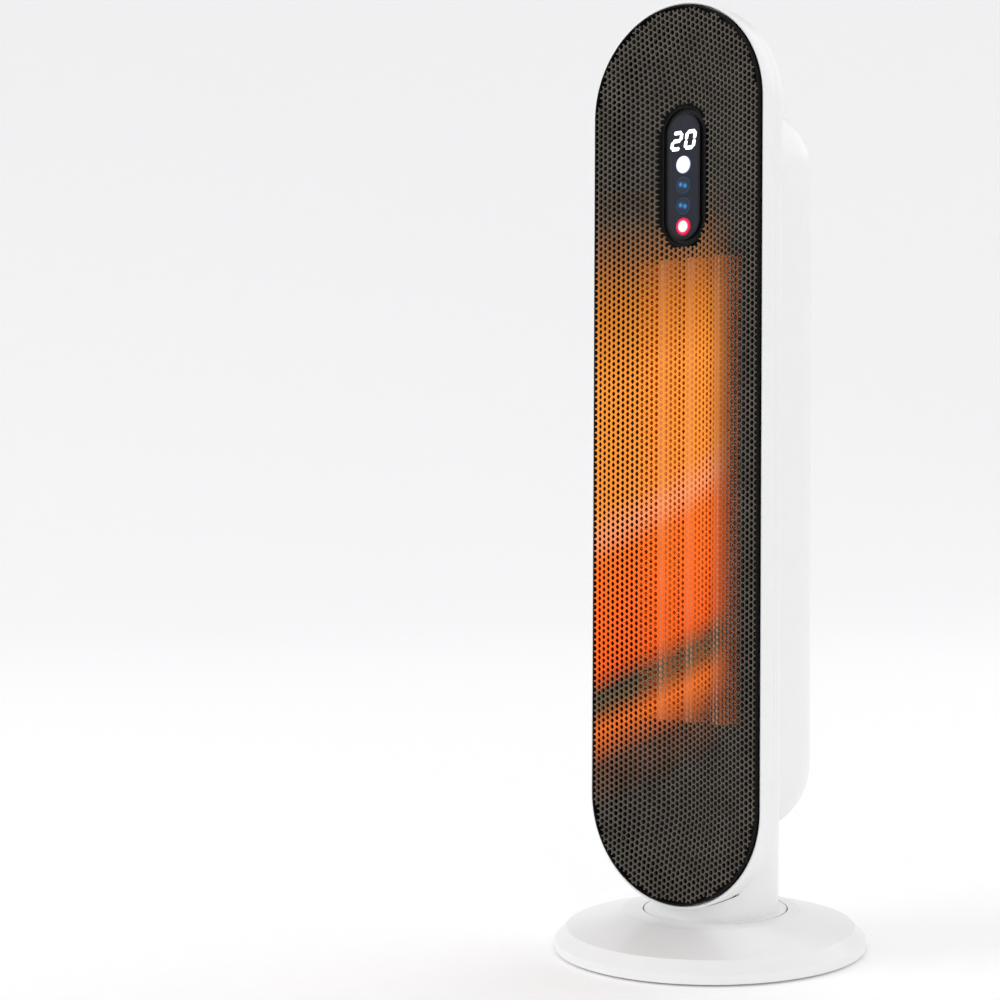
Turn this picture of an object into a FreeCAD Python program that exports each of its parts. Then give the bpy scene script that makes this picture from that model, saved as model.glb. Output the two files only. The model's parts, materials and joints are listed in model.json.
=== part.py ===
"""Tower ceramic space heater: a swivelling tower on a round base, each piece a solid of its own.

The origin is the centre of the base where it meets the floor. +Z is up and the tower faces -Y.
Lengths are millimetres. Every driving dimension is a cell of the sheet Sizes.
"""
import FreeCAD, Part
import Sketcher
import math
import os

Vector = FreeCAD.Vector

document = FreeCAD.newDocument("SpaceHeater")
sheet = document.addObject("Spreadsheet::Sheet", "Sizes")

DIMENSIONS = [
    # name, value, meaning
    ("base_radius", 104.0, "outer radius of the base"),
    ("foot_height", 1.5, "height of the feet below the base"),
    ("rim_height", 5.5, "height of the base's upright rim"),
    ("brim_width", 7.6, "width of the base's sloped brim"),
    ("brim_height", 7.6, "height of the base's sloped brim"),
    ("plateau_margin", 6.7, "flat top round the turntable hole"),
    ("cone_height", 9.9, "height of the base's cone"),
    ("shell_wall", 2.5, "wall of the moulded shells"),
    ("plate_wall", 2.5, "thickness of the base plate"),
    ("gap", 0.3, "assembly clearance round a piece"),
    ("running_gap", 0.05, "radial clearance of a turning fit"),
    ("thread_gap", 0.05, "radial clearance of a screw in its hole"),
    ("foot_radius", 8.0, "radius of a rubber foot"),
    ("foot_inset", 20.0, "distance of the feet's middles from the base's edge"),
    ("foot_recess", 0.8, "depth of a foot's seat in the base plate"),
    ("foot_count", 5, "number of feet"),
    ("weight_gap", 0.6, "space between the turntable seat and the ballast ring"),
    ("weight_inset", 18.0, "distance of the ballast ring from the base's edge"),
    ("weight_height", 5.0, "thickness of the ballast ring"),
    ("screw_inset", 12.5, "distance of the base screws from the base's edge"),
    ("screw_count", 5, "number of base screws"),
    ("overrun", 1.0, "how far a cutting shape runs past a face"),
    ("plate_pilot", 7.0, "depth of the column plate's pilot holes"),
    ("neck_pilot", 12.0, "depth of the neck's pilot holes"),
    ("motor_screw_depth", 5.0, "depth of the swivel motor's screws in it"),
    ("body_screw_gap", 2.0, "space between the body screws' ends and the ledge"),
    ("board_screw_depth", 8.0, "depth of the power board's screws behind it"),
    ("board_pilot", 10.0, "depth of the power board's pilot holes"),
    ("spigot_pilot", 9.0, "depth of the spigot's pilot holes"),
    ("flange_hole", 5.0, "depth of the flange's screw holes"),
    ("neck_way_drop", 40.0, "how far the neck's way runs below the rear cover's body"),
    ("boss_radius", 3.6, "radius of a screw boss"),
    ("screw_radius", 1.45, "radius of a screw's shank"),
    ("head_radius", 2.9, "radius of a screw's head"),
    ("head_height", 1.2, "height of a screw's head"),
    ("inlet_height", 8.2, "height of the cable inlet's axis"),
    ("inlet_radius", 3.9, "outer radius of the cable inlet"),
    ("inlet_bore", 2.9, "bore of the cable inlet"),
    ("inlet_length", 14.0, "length of the cable inlet"),
    ("swivel_y", 5.4, "swivel axis behind the centre of the base"),
    ("neck_radius", 42.4, "outer radius of the neck column"),
    ("neck_rise", 24.4, "how far the neck column rises into the rear cover"),
    ("flange_width", 5.5, "width of the neck's turntable flange"),
    ("flange_height", 5.5, "thickness of the turntable flange"),
    ("ring_gap", 0.9, "ring gap between the flange and the base"),
    ("seat_width", 6.0, "width of the turntable seat"),
    ("seat_inset", 0.9, "distance of the seat from the flange's edge"),
    ("glide_height", 2.4, "thickness of the glide ring"),
    ("deck_rise", 11.5, "height of the neck's deck above the base's flat top"),
    ("deck_wall", 3.0, "thickness of the neck's inner deck"),
    ("spigot_radius", 12.0, "radius of the neck's swivel spigot"),
    ("spigot_bore", 5.5, "cable way through the spigot"),
    ("spigot_rise", 4.0, "height of the spigot's lower end above the base plate"),
    ("post_wall", 6.0, "wall of the bearing post"),
    ("post_shoulder", 2.5, "width of the shoulder under the fixed gear"),
    ("post_foot_gap", 7.0, "space between the post's foot and the turntable seat"),
    ("post_foot_height", 5.5, "thickness of the bearing post's foot"),
    ("gear_drop", 9.0, "depth of the fixed gear's seat below the deck"),
    ("end_play", 0.2, "end play of the swivel"),
    ("washer_height", 1.9, "thickness of the swivel washer"),
    ("retainer_lip", 2.5, "how far the retaining plate reaches under the post"),
    ("retainer_height", 2.0, "thickness of the retaining plate"),
    ("column_plate_edge", 4.0, "how far the column plate reaches past its bosses"),
    ("plate_front", -12.0, "front edge of the column plate"),
    ("plate_rear", 24.0, "rear edge of the column plate"),
    ("wire_way", 13.0, "radius of the hole for wires in the column plate"),
    ("plate_boss_margin", 1.6, "distance of the column plate's bosses from the neck's side"),
    ("plate_boss_y", -7.0, "place of those bosses along Y"),
    ("gear_module", 1.0, "module of the swivel gears"),
    ("gear_teeth", 42, "teeth of the fixed gear"),
    ("pinion_teeth", 14, "teeth of the pinion"),
    ("gear_height", 5.0, "face width of the gears"),
    ("swivel_motor_radius", 11.5, "radius of the swivel motor"),
    ("swivel_motor_height", 16.0, "height of the swivel motor"),
    ("motor_shaft_radius", 2.5, "radius of the motors' shafts"),
    ("tower_base", 32.0, "lower end of the front frame"),
    ("frame_half_width", 70.0, "half the width of the front frame"),
    ("frame_half_height", 295.5, "half the height of the front frame"),
    ("frame_front", -42.0, "front edge of the front frame"),
    ("seam_depth", 12.4, "depth of the front frame"),
    ("flange_depth", 12.0, "depth of the rear cover's flange"),
    ("flange_round", 7.0, "rounding of the rear cover's flange"),
    ("frame_lip", 3.0, "lip of the front frame with its gap, round the grille"),
    ("grille_rise", 2.2, "how far the grille stands proud of the front frame"),
    ("grille_border", 1.0, "flat border of the grille"),
    ("grille_shoulder", 15.0, "distance from the edge where the dish steepens"),
    ("shoulder_depth", 1.4, "depth of the dish at the shoulder"),
    ("grille_floor", 57.0, "distance from the edge where the dish levels out"),
    ("floor_depth", 10.7, "depth of the dish at its floor"),
    ("grille_wall", 1.6, "thickness of the grille"),
    ("grille_skirt", 6.0, "depth of the grille's side wall"),
    ("ledge_width", 9.0, "width of the ledge that the grille seats on"),
    ("frame_gap", 0.7, "gap between the grille and the front frame"),
    ("seam_round", 0.4, "rounding of the edges at the parting plane"),
    ("lip_round", 1.1, "rounding of the front frame's lip"),
    ("body_screw_inset", 11.0, "distance of the body screws from the frame's edge"),
    ("grille_screw_inset", 5.0, "distance of the grille screws from the grille's edge"),
    ("bump_inset", 7.5, "distance of the rear cover's body from the frame's sides"),
    ("bump_base_inset", 43.6, "distance of the rear cover's body from the tower's lower end"),
    ("bump_top_inset", 59.0, "distance of the rear cover's body from the tower's upper end"),
    ("bump_flat", 15.0, "half the straight stretch of the rear cover's top"),
    ("rear_space", 8.5, "space between the fan wheel and the rear cover"),
    ("corner_margin", 1.5, "how much smaller the back rounding is than the corners"),
    ("intake_inset", 22.5, "distance of the intake opening from the sides"),
    ("intake_base_inset", 74.4, "distance of the intake opening from the underside"),
    ("intake_top_inset", 94.0, "distance of the intake opening from the top"),
    ("slat_pitch", 8.0, "pitch of the intake's slats"),
    ("slat_height", 4.2, "height of a slat"),
    ("slat_border", 5.0, "border of the intake grille"),
    ("pill_half_width", 13.25, "half the width of the control panel"),
    ("pill_half_height", 41.5, "half the height of the control panel"),
    ("pill_drop", 112.5, "distance of the control panel's middle from the tower's top"),
    ("pill_rise", 0.4, "how far the control panel stands proud of the dish's floor"),
    ("pill_depth", 11.3, "depth of the control panel's housing"),
    ("pill_wall", 1.3, "wall of the control panel's housing"),
    ("pill_gap", 0.4, "shadow gap round the control panel"),
    ("lens_wall", 1.5, "thickness of the control panel's lens"),
    ("digits_rise", 23.5, "height of the display above the panel's middle"),
    ("module_half_width", 11.2, "half the width of the display module"),
    ("module_half_height", 8.2, "half the height of the display module"),
    ("module_depth", 5.6, "depth of the display module"),
    ("power_key_drop", 32.9, "depth of the power key below the panel's middle"),
    ("key_pitch", 13.5, "pitch of the keys"),
    ("key_radius", 5.8, "radius of a key's face"),
    ("key_proud", 0.5, "how far a key stands proud of the lens"),
    ("key_travel", 0.6, "travel of a key"),
    ("key_collar", 6.5, "radius of the collar that holds a key in"),
    ("key_collar_height", 0.8, "thickness of that collar"),
    ("key_gap", 0.2, "clearance round a key"),
    ("key_stem", 1.8, "radius of a key's stem"),
    ("board_wall", 1.6, "thickness of a circuit board"),
    ("switch_half_width", 3.0, "half the width of a key switch"),
    ("switch_height", 1.5, "height of a key switch"),
    ("heater_inset", 16.5, "distance of the heater frame from the sides"),
    ("heater_base_inset", 72.4, "distance of the heater frame from the underside"),
    ("heater_top_inset", 102.0, "distance of the heater frame from the top"),
    ("heater_gap", 4.9, "space between the grille and the heater frame"),
    ("heater_depth", 16.0, "depth of the heater frame"),
    ("heater_wall", 4.0, "wall of the heater frame"),
    ("bar_width", 5.0, "width of a ceramic heating bar"),
    ("bar_count", 3, "number of ceramic heating bars"),
    ("fin_pitch", 6.0, "pitch of the corrugated fins"),
    ("fin_wall", 0.5, "thickness of the fin strip"),
    ("baffle_wall", 1.2, "thickness of the air baffle"),
    ("terminal_half_width", 2.4, "half the width of a heater terminal"),
    ("terminal_wall", 0.8, "thickness of a heater terminal"),
    ("terminal_length", 9.0, "length of a terminal below the heater frame"),
    ("cutout_radius", 6.5, "radius of the thermal cut-out"),
    ("cutout_height", 6.0, "height of the thermal cut-out"),
    ("fuse_radius", 2.0, "radius of the thermal fuse"),
    ("fuse_length", 12.0, "length of the thermal fuse"),
    ("fan_gap", 7.0, "space between the heater frame and the fan wheel"),
    ("fan_radius", 25.0, "outer radius of the fan wheel"),
    ("fan_base_inset", 18.0, "distance of the fan wheel's lower end above the heater's"),
    ("fan_top_inset", 10.0, "distance of the fan wheel's upper end below the heater's"),
    ("fan_disc_wall", 2.0, "thickness of the fan wheel's discs"),
    ("blade_count", 28, "number of fan blades"),
    ("blade_depth", 7.0, "radial depth of a blade"),
    ("blade_wall", 0.9, "thickness of a blade"),
    ("shaft_radius", 2.5, "radius of the fan shaft"),
    ("duct_gap", 4.0, "space between the fan wheel and the scroll"),
    ("duct_wall", 1.6, "wall of the air duct"),
    ("fan_motor_radius", 24.0, "radius of the fan motor"),
    ("motor_gap", 10.0, "space between the fan motor and the lower end plate"),
    ("fan_motor_height", 32.0, "height of the fan motor"),
    ("fan_end_gap", 6.0, "space between the fan wheel and the end plates"),
    ("mount_wall", 3.0, "thickness of the fan's end plates"),
    ("bearing_radius", 6.0, "outer radius of the upper bearing"),
    ("board_inset", 17.5, "distance of the power board from the sides"),
    ("board_rise", 12.0, "distance of the power board above the heater frame"),
    ("board_drop", 24.0, "distance of the power board below the rear cover's top"),
    ("power_board_front", 4.0, "front face of the power board"),
    ("relay_width", 15.0, "width of a relay"),
    ("relay_depth", 14.0, "depth of a relay"),
    ("capacitor_radius", 6.0, "radius of the mains capacitor"),
    ("tilt_width", 14.0, "width of the tip-over switch"),
]


class Size:
    """A length together with the sheet formula that gives it."""

    def __init__(self, value, formula):
        self.value = float(value)
        self.formula = formula

    def __add__(self, other):
        return joined(self, "+", other, self.value + float(other))

    def __radd__(self, other):
        return joined(other, "+", self, float(other) + self.value)

    def __sub__(self, other):
        return joined(self, "-", other, self.value - float(other))

    def __rsub__(self, other):
        return joined(other, "-", self, float(other) - self.value)

    def __mul__(self, other):
        return joined(self, "*", other, self.value * float(other))

    def __rmul__(self, other):
        return joined(other, "*", self, float(other) * self.value)

    def __truediv__(self, other):
        return joined(self, "/", other, self.value / float(other))

    def __neg__(self):
        return Size(-self.value, f"(0 - {self.formula})")

    def __float__(self):
        return self.value

    def __int__(self):
        return int(round(self.value))


def formula_of(size):
    """The formula of a size, or the plain number."""
    if isinstance(size, Size):
        return size.formula
    return repr(float(size))


def joined(left, sign, right, value):
    """The size that an arithmetic sign makes of two others."""
    return Size(value, f"({formula_of(left)} {sign} {formula_of(right)})")


class Sizes:
    """The driving dimensions by name, and the sizes that follow from them."""

    def follow(self):
        """Works out every size that fits to another piece."""
        self.follow_base()
        self.follow_tower()
        self.follow_inside()

    def follow_base(self):
        """The base, its turntable and the swivel drive."""
        self.rim_top = self.foot_height + self.rim_height
        self.brim_top = self.rim_top + self.brim_height
        self.plateau_top = self.brim_top + self.cone_height
        self.brim_radius = self.base_radius - self.brim_width
        self.foot_circle = self.base_radius - self.foot_inset
        self.screw_circle = self.base_radius - self.screw_inset
        self.weight_outer = self.base_radius - self.weight_inset
        self.flange_radius = self.neck_radius + self.flange_width
        self.flange_base = self.plateau_top - self.flange_height
        self.plateau_radius = self.flange_radius + self.swivel_y + self.plateau_margin
        self.seat_outer = self.flange_radius - self.seat_inset
        self.seat_inner = self.seat_outer - self.seat_width
        self.weight_inner = self.seat_outer + self.swivel_y + self.weight_gap
        self.post_foot = self.seat_inner - self.post_foot_gap
        self.post_radius = self.spigot_radius + self.post_wall
        self.post_neck = self.post_radius - self.post_shoulder
        self.retainer_radius = self.spigot_radius + self.retainer_lip
        self.spigot_base = self.foot_height + self.plate_wall + self.spigot_rise
        self.deck_base = self.plateau_top + self.deck_rise
        self.gear_seat = self.deck_base - self.gear_drop

    def follow_tower(self):
        """The front frame, the grille, the rear cover and the control panel."""
        self.tower_mid = self.tower_base + self.frame_half_height
        self.tower_top = self.tower_base + 2 * self.frame_half_height
        self.seam = self.frame_front + self.seam_depth
        self.flange_back = self.seam + self.flange_depth
        self.grille_front = self.frame_front - self.grille_rise
        self.grille_half_width = self.frame_half_width - self.frame_lip
        self.grille_half_height = self.frame_half_height - self.frame_lip
        self.bump_half_width = self.frame_half_width - self.bump_inset
        self.bump_base = self.tower_base + self.bump_base_inset
        self.bump_top = self.tower_top - self.bump_top_inset
        self.bump_corner = self.bump_half_width - self.bump_flat
        self.bump_round = self.bump_corner - self.corner_margin
        self.neck_top = self.bump_base + self.neck_rise
        self.intake_half_width = self.bump_half_width - self.intake_inset
        self.intake_base = self.bump_base + self.intake_base_inset
        self.intake_top = self.bump_top - self.intake_top_inset
        self.plate_boss_x = self.neck_radius + self.plate_boss_margin
        self.plate_half_width = self.plate_boss_x + self.column_plate_edge
        self.pill_mid = self.tower_top - self.pill_drop
        self.pill_front = self.grille_front + self.floor_depth - self.pill_rise
        self.pill_back = self.pill_front + self.pill_depth
        self.digits_height = self.pill_mid + self.digits_rise
        self.power_key_height = self.pill_mid - self.power_key_drop

    def follow_inside(self):
        """The heater, the fan and the power board."""
        self.heater_half_width = self.bump_half_width - self.heater_inset
        self.heater_base = self.bump_base + self.heater_base_inset
        self.heater_top = self.bump_top - self.heater_top_inset
        self.heater_front = self.grille_front + self.floor_depth + self.grille_wall + self.heater_gap
        self.heater_back = self.heater_front + self.heater_depth
        self.fan_y = self.heater_back + self.fan_gap + self.fan_radius
        self.fan_base = self.heater_base + self.fan_base_inset
        self.fan_top = self.heater_top - self.fan_top_inset
        self.bump_back = self.fan_y + self.fan_radius + self.rear_space + self.shell_wall
        self.lower_plate_base = self.fan_base - self.fan_end_gap - self.mount_wall
        self.fan_motor_base = self.lower_plate_base - self.motor_gap - self.fan_motor_height
        self.power_board_half_width = self.bump_half_width - self.board_inset
        self.power_board_base = self.heater_top + self.board_rise
        self.power_board_top = self.bump_top - self.board_drop


def fill_sheet():
    """Writes the driving dimensions to the sheet and returns them by name."""
    sizes = Sizes()
    for row, (name, value, meaning) in enumerate(DIMENSIONS, start=1):
        sheet.set(f"A{row}", name)
        sheet.set(f"B{row}", str(value))
        sheet.set(f"C{row}", meaning)
        sheet.setAlias(f"B{row}", name)
        setattr(sizes, name, Size(value, f"Sizes.{name}"))
    document.recompute()
    sizes.follow()
    return sizes


S = fill_sheet()


# ---------------------------------------------------------------- drawing helpers


def bind(thing, path, size):
    """Ties a property to a size."""
    if isinstance(size, Size):
        thing.setExpression(path, size.formula)
    else:
        setattr(thing, path, float(size))


def place(thing, x=0.0, y=0.0, z=0.0, turn=None):
    """Puts a thing at a point, turned first by an optional rotation."""
    base = Vector(float(x), float(y), float(z))
    thing.Placement = FreeCAD.Placement(base, turn or FreeCAD.Rotation())
    for axis, size in zip("xyz", (x, y, z)):
        if isinstance(size, Size):
            thing.setExpression(f"Placement.Base.{axis}", size.formula)
    return thing


def new(kind, label):
    """A new object with its label."""
    thing = document.addObject(kind, label)
    thing.Label = label
    return thing


def box(label, x, y, z):
    """A block between two ends along each axis."""
    block = new("Part::Box", label)
    for prop, (low, high) in zip(("Length", "Width", "Height"), (x, y, z)):
        bind(block, prop, high - low)
    return place(block, x[0], y[0], z[0])


def rod(label, radius, ends, at=(0.0, 0.0), along="z"):
    """A cylinder between two ends along an axis; at gives its place on the other two."""
    cylinder = new("Part::Cylinder", label)
    bind(cylinder, "Radius", radius)
    bind(cylinder, "Height", ends[1] - ends[0])
    if along == "z":
        return place(cylinder, at[0], at[1], ends[0])
    if along == "y":
        return place(cylinder, at[0], ends[0], at[1], FreeCAD.Rotation(Vector(1, 0, 0), -90))
    return place(cylinder, ends[0], at[0], at[1], FreeCAD.Rotation(Vector(0, 1, 0), 90))


def fuse(label, *pieces):
    """One solid, or one group, of several pieces."""
    joint = new("Part::MultiFuse", label)
    joint.Shapes = list(pieces)
    joint.Refine = True
    return joint


def cut(label, piece, *tools):
    """A piece with other pieces taken out of it."""
    remainder = new("Part::Cut", label)
    remainder.Base = piece
    remainder.Tool = tools[0] if len(tools) == 1 else fuse(f"{label}_tools", *tools)
    return remainder


def common(label, piece, other):
    """What two pieces share."""
    shared = new("Part::Common", label)
    shared.Base = piece
    shared.Tool = other
    return shared


def tube(label, outer, inner, ends, at=(0.0, 0.0), along="z"):
    """A cylinder with a bore through it."""
    reach = 1.0
    solid = rod(f"{label}_outside", outer, ends, at, along)
    bore = rod(f"{label}_bore", inner, (ends[0] - reach, ends[1] + reach), at, along)
    return cut(label, solid, bore)


def origin_plane(body, role):
    """The origin plane of a body that has a role."""
    return next(plane for plane in body.Origin.OriginFeatures if plane.Role == role)


def sketch_on(body, name, role, offset=0.0):
    """A sketch on one of its body's origin planes, moved along the plane's normal."""
    sketch = body.newObject("Sketcher::SketchObject", name)
    sketch.AttachmentSupport = [(origin_plane(body, role), "")]
    sketch.MapMode = "FlatFace"
    if isinstance(offset, Size):
        sketch.setExpression("AttachmentOffset.Base.z", offset.formula)
    return sketch


def fix(sketch, kind, size, *where):
    """Adds a dimension to a sketch and ties it to its size."""
    number = sketch.addConstraint(Sketcher.Constraint(kind, *where, float(size)))
    if isinstance(size, Size):
        sketch.setExpression(f"Constraints[{number}]", size.formula)


def fix_point(sketch, line, end, point):
    """Holds one end of a line at a point given by two sizes."""
    for kind, size, axis in (("DistanceX", point[0], -2), ("DistanceY", point[1], -1)):
        if isinstance(size, Size):
            fix(sketch, kind, size, -1, 1, line, end)
        else:
            sketch.addConstraint(Sketcher.Constraint("PointOnObject", line, end, axis))


def draw_outline(sketch, corners):
    """Draws a closed outline through corners, each a pair of sizes; a plain 0 lies on an axis."""
    points = [Vector(float(x), float(y), 0) for x, y in corners]
    count = len(points)
    for number in range(count):
        sketch.addGeometry(Part.LineSegment(points[number], points[(number + 1) % count]), False)
    for number in range(count):
        after = (number + 1) % count
        sketch.addConstraint(Sketcher.Constraint("Coincident", number, 2, after, 1))
    for number, corner in enumerate(corners):
        fix_point(sketch, number, 1, corner)


def draw_stadium(sketch, half_width, half_height, middle):
    """Draws an upright slot: two half circles joined by straight sides."""
    radius = float(half_width)
    high = float(middle) + float(half_height) - radius
    low = float(middle) - float(half_height) + radius
    up = Vector(0, 0, 1)
    top_circle = Part.Circle(Vector(0, high, 0), up, radius)
    bottom_circle = Part.Circle(Vector(0, low, 0), up, radius)
    top = sketch.addGeometry(Part.ArcOfCircle(top_circle, 0, math.pi), False)
    bottom = sketch.addGeometry(Part.ArcOfCircle(bottom_circle, math.pi, 2 * math.pi), False)
    left = sketch.addGeometry(Part.LineSegment(Vector(-radius, high, 0), Vector(-radius, low, 0)), False)
    right = sketch.addGeometry(Part.LineSegment(Vector(radius, low, 0), Vector(radius, high, 0)), False)
    for first, first_end, second, second_end in (
        (top, 2, left, 1),
        (left, 2, bottom, 1),
        (bottom, 2, right, 1),
        (right, 2, top, 1),
    ):
        sketch.addConstraint(Sketcher.Constraint("Tangent", first, first_end, second, second_end))
    for arc, size in (
        (top, middle + half_height - half_width),
        (bottom, middle - half_height + half_width),
    ):
        sketch.addConstraint(Sketcher.Constraint("PointOnObject", arc, 3, -2))
        fix(sketch, "DistanceY", size, -1, 1, arc, 3)
    fix(sketch, "Radius", half_width, top)


def pad(body, sketch, length):
    """Gives a sketch its thickness along the sketch's normal."""
    feature = body.newObject("PartDesign::Pad", f"{body.Label}_pad")
    feature.Profile = sketch
    bind(feature, "Length", length)
    sketch.Visibility = False
    return feature


def stadium(label, half_width, half_height, middle, y):
    """An upright slot-shaped slab between two values of Y."""
    body = new("PartDesign::Body", label)
    sketch = sketch_on(body, f"{label}_outline", "XZ_Plane", -y[1])
    draw_stadium(sketch, half_width, half_height, middle)
    pad(body, sketch, y[1] - y[0])
    return body


def prism(label, corners, z):
    """An upright prism on a plan outline, between two heights."""
    body = new("PartDesign::Body", label)
    sketch = sketch_on(body, f"{label}_outline", "XY_Plane", z[0])
    draw_outline(sketch, corners)
    pad(body, sketch, z[1] - z[0])
    return body


def turned(label, corners, y=0.0):
    """A piece turned about an upright axis from corners given as radius and height."""
    body = new("PartDesign::Body", label)
    sketch = sketch_on(body, f"{label}_section", "XZ_Plane")
    draw_outline(sketch, corners)
    feature = body.newObject("PartDesign::Revolution", f"{label}_turn")
    feature.Profile = sketch
    feature.ReferenceAxis = (sketch, ["V_Axis"])
    feature.Angle = 360
    sketch.Visibility = False
    return place(body, y=y)


def edges_where(shape, test):
    """The names of the edges of a shape that pass a test."""
    return [f"Edge{number}" for number, edge in enumerate(shape.Edges, start=1) if test(edge)]


def rounded(body, name, radius, test):
    """Rounds the edges of a body's last feature that pass a test."""
    document.recompute()
    before = body.Tip
    fillet = body.newObject("PartDesign::Fillet", name)
    fillet.Base = (before, edges_where(before.Shape, test))
    bind(fillet, "Radius", radius)
    document.recompute()
    return fillet


def ring_points(radius, count, start=0.0, y=0.0):
    """Points evenly spaced round an upright axis, as pairs of sizes."""
    points = []
    for number in range(int(count)):
        angle = math.radians(start + 360.0 * number / int(count))
        points.append((radius * math.cos(angle), radius * math.sin(angle) + y))
    return points


def screw(label, at, head_end, tip_end, along="z"):
    """A pan-head screw; it points from its head end to its tip end along an axis."""
    way = 1.0 if float(tip_end) > float(head_end) else -1.0
    neck = head_end + way * S.head_height
    head_ends = (head_end, neck) if way > 0 else (neck, head_end)
    shank_ends = (neck, tip_end) if way > 0 else (tip_end, neck)
    head = rod(f"{label}_head", S.head_radius, head_ends, at, along)
    shank = rod(f"{label}_shank", S.screw_radius, shank_ends, at, along)
    return fuse(label, head, shank)


SCREW_HOLE = S.screw_radius + S.thread_gap
HEAD_HOLE = S.head_radius + S.gap


# ---------------------------------------------------------------- base

PLATE_TOP = S.foot_height + S.plate_wall
GEAR_TOP = S.gear_seat + S.gear_height
GEAR_DISTANCE = S.gear_module * (S.gear_teeth + S.pinion_teeth) / 2
PINION_Y = S.swivel_y + GEAR_DISTANCE
HALF_TURN_PER_FOOT = 180.0 / int(S.foot_count)


def base_cover():
    """The moulded upper shell of the base: rim, brim, cone and flat top."""
    wall = S.shell_wall
    shell = turned(
        "base_cover_shell",
        [
            (0, S.plateau_top - wall),
            (S.plateau_radius, S.plateau_top - wall),
            (S.brim_radius - wall, S.brim_top - wall),
            (S.base_radius - wall, S.rim_top - wall / 2),
            (S.base_radius - wall, S.foot_height),
            (S.base_radius, S.foot_height),
            (S.base_radius, S.rim_top),
            (S.brim_radius, S.brim_top),
            (S.plateau_radius, S.plateau_top),
            (0, S.plateau_top),
        ],
    )
    spots = ring_points(S.screw_circle, S.screw_count)
    bosses = [
        rod(f"base_boss_{number}", S.boss_radius, (PLATE_TOP, S.brim_top), spot)
        for number, spot in enumerate(spots)
    ]
    holes = [
        rod(f"base_pilot_{number}", SCREW_HOLE, (S.foot_height, S.brim_top - wall), spot)
        for number, spot in enumerate(spots)
    ]
    turntable_hole = rod(
        "turntable_hole", S.flange_radius + S.ring_gap, (PLATE_TOP, S.plateau_top + wall), (0, S.swivel_y)
    )
    inlet_hole = rod(
        "inlet_hole",
        S.inlet_radius + S.running_gap,
        (S.base_radius - S.inlet_length, S.base_radius + wall),
        (0, S.inlet_height),
        "y",
    )
    return cut("base_cover", fuse("base_cover_body", shell, *bosses), turntable_hole, inlet_hole, *holes)


def base_plate():
    """The bottom plate with seats for the feet and holes for the screws."""
    disc = rod("base_plate_disc", S.base_radius - S.shell_wall - S.gap, (S.foot_height, PLATE_TOP))
    access = rod("retainer_access", S.retainer_radius + S.gap, (0.0, PLATE_TOP + S.gap), (0, S.swivel_y))
    seats = [
        rod(f"foot_seat_{number}", S.foot_radius + S.thread_gap, (0.0, S.foot_height + S.foot_recess), spot)
        for number, spot in enumerate(ring_points(S.foot_circle, S.foot_count, HALF_TURN_PER_FOOT))
    ]
    holes = []
    for number, spot in enumerate(ring_points(S.screw_circle, S.screw_count)):
        holes.append(rod(f"plate_hole_{number}", SCREW_HOLE, (0.0, PLATE_TOP + S.gap), spot))
        holes.append(rod(f"head_seat_{number}", HEAD_HOLE, (0.0, S.foot_height + S.head_height), spot))
    return cut("base_plate", disc, access, *seats, *holes)


def rubber_feet():
    """The ring of rubber feet."""
    feet = [
        rod(f"foot_{number}", S.foot_radius, (0.0, S.foot_height + S.foot_recess), spot)
        for number, spot in enumerate(ring_points(S.foot_circle, S.foot_count, HALF_TURN_PER_FOOT))
    ]
    return fuse("rubber_feet", *feet)


def base_screws():
    """The screws that hold the plate to the cover."""
    screws = [
        screw(f"base_screw_{number}", spot, S.foot_height, S.brim_top - 2 * S.shell_wall)
        for number, spot in enumerate(ring_points(S.screw_circle, S.screw_count))
    ]
    return fuse("base_screws", *screws)


def base_weight():
    """The steel ballast ring."""
    return tube("base_weight", S.weight_outer, S.weight_inner, (PLATE_TOP, PLATE_TOP + S.weight_height))


def cable_inlet():
    """The bushing at the back where the mains cable enters."""
    ends = (S.base_radius - S.inlet_length, S.base_radius - S.gap)
    return tube("cable_inlet", S.inlet_radius, S.inlet_bore, ends, (0, S.inlet_height), "y")


def turntable_seat():
    """The ring on the base plate that carries the turntable."""
    top = S.flange_base - S.glide_height
    return tube("turntable_seat", S.seat_outer, S.seat_inner, (PLATE_TOP, top), (0, S.swivel_y))


def glide_ring():
    """The slippery ring that the turntable turns on."""
    ends = (S.flange_base - S.glide_height, S.flange_base - S.running_gap)
    return tube("glide_ring", S.seat_outer, S.seat_inner, ends, (0, S.swivel_y))


def bearing_post():
    """The post that the neck's spigot turns in, with a shoulder for the fixed gear."""
    bore = S.spigot_radius + S.running_gap
    ledge = S.spigot_base + S.end_play
    counterbore = S.retainer_radius + S.gap
    top = S.deck_base - S.washer_height
    return turned(
        "bearing_post",
        [
            (bore, ledge),
            (counterbore, ledge),
            (counterbore, PLATE_TOP),
            (S.post_foot, PLATE_TOP),
            (S.post_foot, PLATE_TOP + S.post_foot_height),
            (S.post_radius, PLATE_TOP + S.post_foot_height),
            (S.post_radius, S.gear_seat),
            (S.post_neck, S.gear_seat),
            (S.post_neck, top),
            (bore, top),
        ],
        S.swivel_y,
    )


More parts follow.
